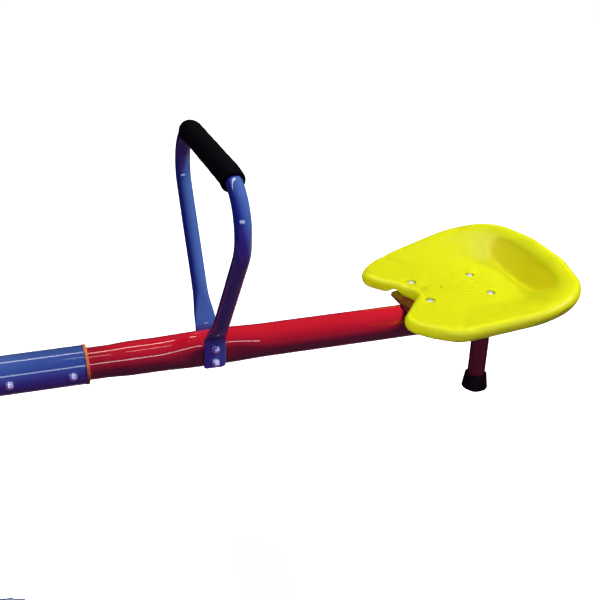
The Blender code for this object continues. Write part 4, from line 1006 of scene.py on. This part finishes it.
def make_yoke():
    ear_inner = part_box("pivot_bush_far")[1].y + 0.0004
    ear_outer = ear_inner + 0.005
    drop, thick = 0.052, 0.006
    outline = rounded_outline(rectangle(0.030, ear_outer, 0.004), math.radians(10.0))
    pieces = [apply_modifiers(slab("yoke_plate", outline, -drop - thick, -drop, 0.0010))]
    ear = rounded_path(
        [(-0.030, -drop - 0.001, 0), (-0.023, 0.023, 0.0229)]
        + [(0.023, 0.023, 0.0229), (0.030, -drop - 0.001, 0)],
        math.radians(5.0),
    )
    swap = Matrix(((1, 0, 0, 0), (0, 0, -1, 0), (0, 1, 0, 0), (0, 0, 0, 1)))
    for low in (ear_inner, -ear_outer):
        piece = apply_modifiers(slab("ear", ear, -low - 0.005, -low, 0.0010))
        piece.data.transform(swap)
        pieces.append(piece)
    for side in (-1, 1):
        y = side * (ear_inner - 0.0004)
        path = resampled([Vector((-0.027, y, -drop + 0.0006)), Vector((0.027, y, -drop + 0.0006))], 0.0022)
        pieces.append(bead("yoke_weld", path, 0.0020, False))
    return merged("yoke", *pieces)


place(make_yoke(), "yoke_look", "blue_enamel", "swivel", ENDS["right"], "yoke")


# Base


def leg_matrix(number):
    return Matrix.Rotation(BASE_TURN + 2 * math.pi * number / 4, 4, "Z")


SOCKET_AXIS = Vector((math.cos(LEG_SLOPE), 0, -math.sin(LEG_SLOPE)))
SOCKET_UP = Vector((math.sin(LEG_SLOPE), 0, math.cos(LEG_SLOPE)))
SOCKET_START = Vector((0, 0, SOCKET_HEIGHT))


def make_post():
    low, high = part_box("hub_post")[0].z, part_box("hub_post")[1].z
    outer, inner = 0.030, 0.027
    lip = 0.0006
    profile = [(inner, low + lip), (inner + lip, low), (outer - lip, low), (outer, low + lip)]
    profile += [(outer, high - lip), (outer - lip, high), (inner + lip, high), (inner, high - lip)]
    pieces = [lathe("post", profile, 96)]
    for number in range(4):
        outer, inner = 0.0188, 0.0165
        start, end = 0.0285, 0.106
        profile = [(inner, start), (outer, start), (outer, end - lip)]
        profile += [(outer - lip, end), (inner + lip, end), (inner, end - lip)]
        socket = lathe("socket", profile, 64)
        turned = leg_matrix(number)
        socket.data.transform(turned @ along(SOCKET_AXIS, SOCKET_START))
        pieces.append(socket)
        path = []
        for i in range(72):
            angle = 2 * math.pi * i / 72
            y = 0.0192 * math.cos(angle)
            up = 0.0192 * math.sin(angle)
            x = math.sqrt(0.0303 ** 2 - y * y)
            reach = (x - up * math.sin(LEG_SLOPE)) / math.cos(LEG_SLOPE)
            path.append(turned @ (SOCKET_START + SOCKET_AXIS * reach + SOCKET_UP * up + Vector((0, y, 0))))
        pieces.append(bead("socket_weld", path, 0.0021))
    return merged("post", *pieces)


place(make_post(), "hub_post_look", "blue_enamel", "base", Matrix(), "hub_post")


def make_leg():
    drop = math.tan(LEG_SLOPE)
    corners = [
        (0.036, SOCKET_HEIGHT - 0.036 * drop, 0),
        (LEG_REACH, SOCKET_HEIGHT - LEG_REACH * drop, 0.030),
        (LEG_REACH, 0.0065, 0),
    ]
    path = resampled(rounded_path(corners), 0.0080)
    stations = []
    for point, ahead in zip(path, headings(path)):
        across = Vector((-ahead.y, 0, ahead.x))
        stations.append((Vector((point.x, 0, point.y)), Vector((0, 1, 0)), across, 0.016, 0.016))
    return sweep("leg", stations, 0.0015, 40)


def make_foot():
    profile = [(0.0, 0.0), (0.0178, 0.0), (0.0200, 0.0012), (0.0207, 0.0032)]
    for part in np.linspace(0.2, 0.92, 7):
        profile.append((0.0207 - 0.0024 * part, 0.0032 + 0.0175 * part))
    profile += [(0.0182, 0.0208), (0.0176, 0.0218), (0.0166, 0.0218)]
    profile += [(0.0163, 0.0212), (0.0163, 0.0063), (0.0, 0.0063)]
    return lathe("foot", profile, 64, False)


def place_round_base(kind, made, look):
    for number in range(4):
        piece = made if number == 0 else copy_of(made, kind)
        node = f"{kind}_{number + 1}"
        place(piece, f"{node}_look", look, "base", leg_matrix(number), node)


leg_bolt = dome_bolt("leg_bolt", 0.008, 0.016, 0.0047, 0.0447, 0.0068, 0.0373)
leg_bolt.data.transform(along(SOCKET_UP, SOCKET_START + SOCKET_AXIS * LEG_BOLT_REACH + SOCKET_UP * 0.0190))
foot = make_foot()
foot.data.transform(Matrix.Translation((LEG_REACH, 0, 0)))
place_round_base("leg", make_leg(), "blue_enamel")
place_round_base("foot", foot, "black_rubber")
place_round_base("leg_bolt", leg_bolt, "zinc_plate")


# Solids that stay, with their looks

KEPT = {
    "white_nylon": ["upper_bush", "lower_bush", "pivot_bush_near", "pivot_bush_far"],
    "bright_steel": ["spindle", "thrust_washer", "pivot_barrel"],
    "zinc_plate": ["retaining_washer", "retaining_bolt", "pivot_bolt", "pivot_nut"],
}
for look, names in KEPT.items():
    for name in names:
        for slot in frame["nodes"][name].material_slots:
            slot.material = LOOKS[look]


# Studio: a floor and a backdrop that only the camera sees, and soft lights


def stage_material(name, colour, glow):
    made = bpy.data.materials.new(name)
    made.use_nodes = True
    shader = made.node_tree.nodes["Principled BSDF"]
    shader.inputs["Base Color"].default_value = (*colour, 1.0)
    shader.inputs["Roughness"].default_value = 0.9
    shader.inputs["Specular IOR Level"].default_value = 0.0
    shader.inputs["Emission Color"].default_value = (1.0, 1.0, 1.0, 1.0)
    shader.inputs["Emission Strength"].default_value = glow
    return made


def stage_piece(name, points, faces, made_of):
    mesh = bpy.data.meshes.new(name)
    mesh.from_pydata(points, [], faces)
    made = bpy.data.objects.new(name, mesh)
    bpy.context.scene.collection.objects.link(made)
    mesh.materials.append(made_of)
    made.visible_diffuse = False
    made.visible_glossy = False
    made.visible_shadow = False
    return made


size = 9.0
stage_piece(
    "floor", [(-size, -size, 0), (size, -size, 0), (size, size, 0), (-size, size, 0)], [(0, 1, 2, 3)],
    stage_material("pale floor", (0.90, 0.90, 0.90), 0.90),
)
ring = [(size * math.cos(a), size * math.sin(a)) for a in np.linspace(0, 2 * math.pi, 49)[:-1]]
stage_piece(
    "backdrop",
    [(x, y, z) for z in (-0.5, 9.0) for x, y in ring] + [(0, 0, 9.0)],
    rings_to_faces(0, 2, 48) + [(48 + i, 48 + (i + 1) % 48, 96) for i in range(48)],
    stage_material("pale backdrop", (0.0, 0.0, 0.0), 1.05),
)


LIGHT_DISTANCE = 3.0
LAMP_WHITE = (1.0, 1.0, 1.0)
TUBE_WHITE = (1.0, 0.95, 0.88)


def area_light(name, direction, middle, size_x, size_y, radiance, colour=LAMP_WHITE, gloss_only=False):
    """A light at a distance from a point of the beam, aimed at it. Gloss only: it shows in reflections alone."""
    data = bpy.data.lights.new(name, "AREA")
    data.shape = "RECTANGLE"
    data.size = size_x
    data.size_y = size_y
    data.energy = math.pi * size_x * size_y * radiance
    data.color = colour
    light = bpy.data.objects.new(name, data)
    bpy.context.scene.collection.objects.link(light)
    aim = Vector(direction).normalized()
    light.location = Vector((middle, 0.0, AXIS_HEIGHT)) + LIGHT_DISTANCE * aim
    light.rotation_euler = aim.to_track_quat("Z", "Y").to_euler()
    light.visible_diffuse = not gloss_only
    light.visible_camera = False
    return light


def group(name, *endings):
    """A collection of the pieces with these endings in their names, for a light to reach or to miss."""
    chosen = bpy.data.collections.new(name)
    for piece in sorted(bpy.data.objects, key=lambda piece: piece.name):
        if piece.type == "MESH" and piece.name.endswith(endings):
            chosen.objects.link(piece)
    return chosen


def above_beam(angle):
    """A direction across the beam, at an angle from straight up toward the camera's side, in degrees."""
    return (0.0, -math.sin(math.radians(angle)), math.cos(math.radians(angle)))


key = area_light("key", (0.56, -0.08, 0.83), 0.45, 0.8, 0.8, 62.0)
key.visible_glossy = False
seat_fill = area_light("seat_fill", (-0.80, -0.42, 0.24), 0.80, 2.4, 1.0, 11.0)
seat_fill.visible_glossy = False
seat_glint = area_light("seat_glint", (0.60, -0.20, 0.77), 0.45, 0.7, 0.7, 26.0, gloss_only=True)
for light in (seat_fill, seat_glint):
    light.light_linking.receiver_collection = group("seats", "_seat_look")
key.light_linking.receiver_collection = group("shaded by the seats", "_seat_plate_look", "_bumper_leg_look")
for shaded in key.light_linking.receiver_collection.collection_objects:
    shaded.light_linking.link_state = "EXCLUDE"
fill = area_light("fill", above_beam(45.0), 0.3, 4.0, 2.0, 3.0, (0.04, 0.04, 1.0))
fill.visible_glossy = False
area_light("strip_back", above_beam(-16.0), -1.0, 4.0, 0.26, 14.0, TUBE_WHITE, True)
area_light("strip_top", above_beam(16.0), 0.70, 0.45, 0.12, 12.0, TUBE_WHITE, True)
area_light("strip_front", above_beam(68.0), -0.95, 4.3, 0.30, 10.0, (0.86, 0.94, 1.0), True)
area_light("low_card", above_beam(118.0), -0.6, 12.0, 4.8, 0.40, (1.0, 0.26, 0.62), True)
area_light("floor_card", above_beam(192.0), 0.0, 12.0, 5.2, 0.20, (1.0, 0.34, 0.66), True)

world = bpy.data.worlds.new("studio")
bpy.context.scene.world = world
world.use_nodes = True
tree = world.node_tree
background = tree.nodes["Background"]
direction = tree.nodes.new("ShaderNodeTexCoord")
split = tree.nodes.new("ShaderNodeSeparateXYZ")
spread = tree.nodes.new("ShaderNodeMapRange")
spread.inputs["From Min"].default_value = -1.0
spread.inputs["From Max"].default_value = 1.0
ramp = tree.nodes.new("ShaderNodeValToRGB")
ramp.color_ramp.elements[0].position = 0.40
ramp.color_ramp.elements[0].color = (0.020, 0.006, 0.012, 1.0)
ramp.color_ramp.elements[1].position = 1.0
ramp.color_ramp.elements[1].color = (0.12, 0.12, 0.12, 1.0)
middle_stop = ramp.color_ramp.elements.new(0.60)
middle_stop.color = (0.045, 0.034, 0.040, 1.0)
tree.links.new(direction.outputs["Generated"], split.inputs["Vector"])
tree.links.new(split.outputs["Z"], spread.inputs["Value"])
tree.links.new(spread.outputs["Result"], ramp.inputs["Fac"])
tree.links.new(ramp.outputs["Color"], background.inputs["Color"])
background.inputs["Strength"].default_value = 1.0

bpy.context.scene.view_settings.view_transform = "Standard"
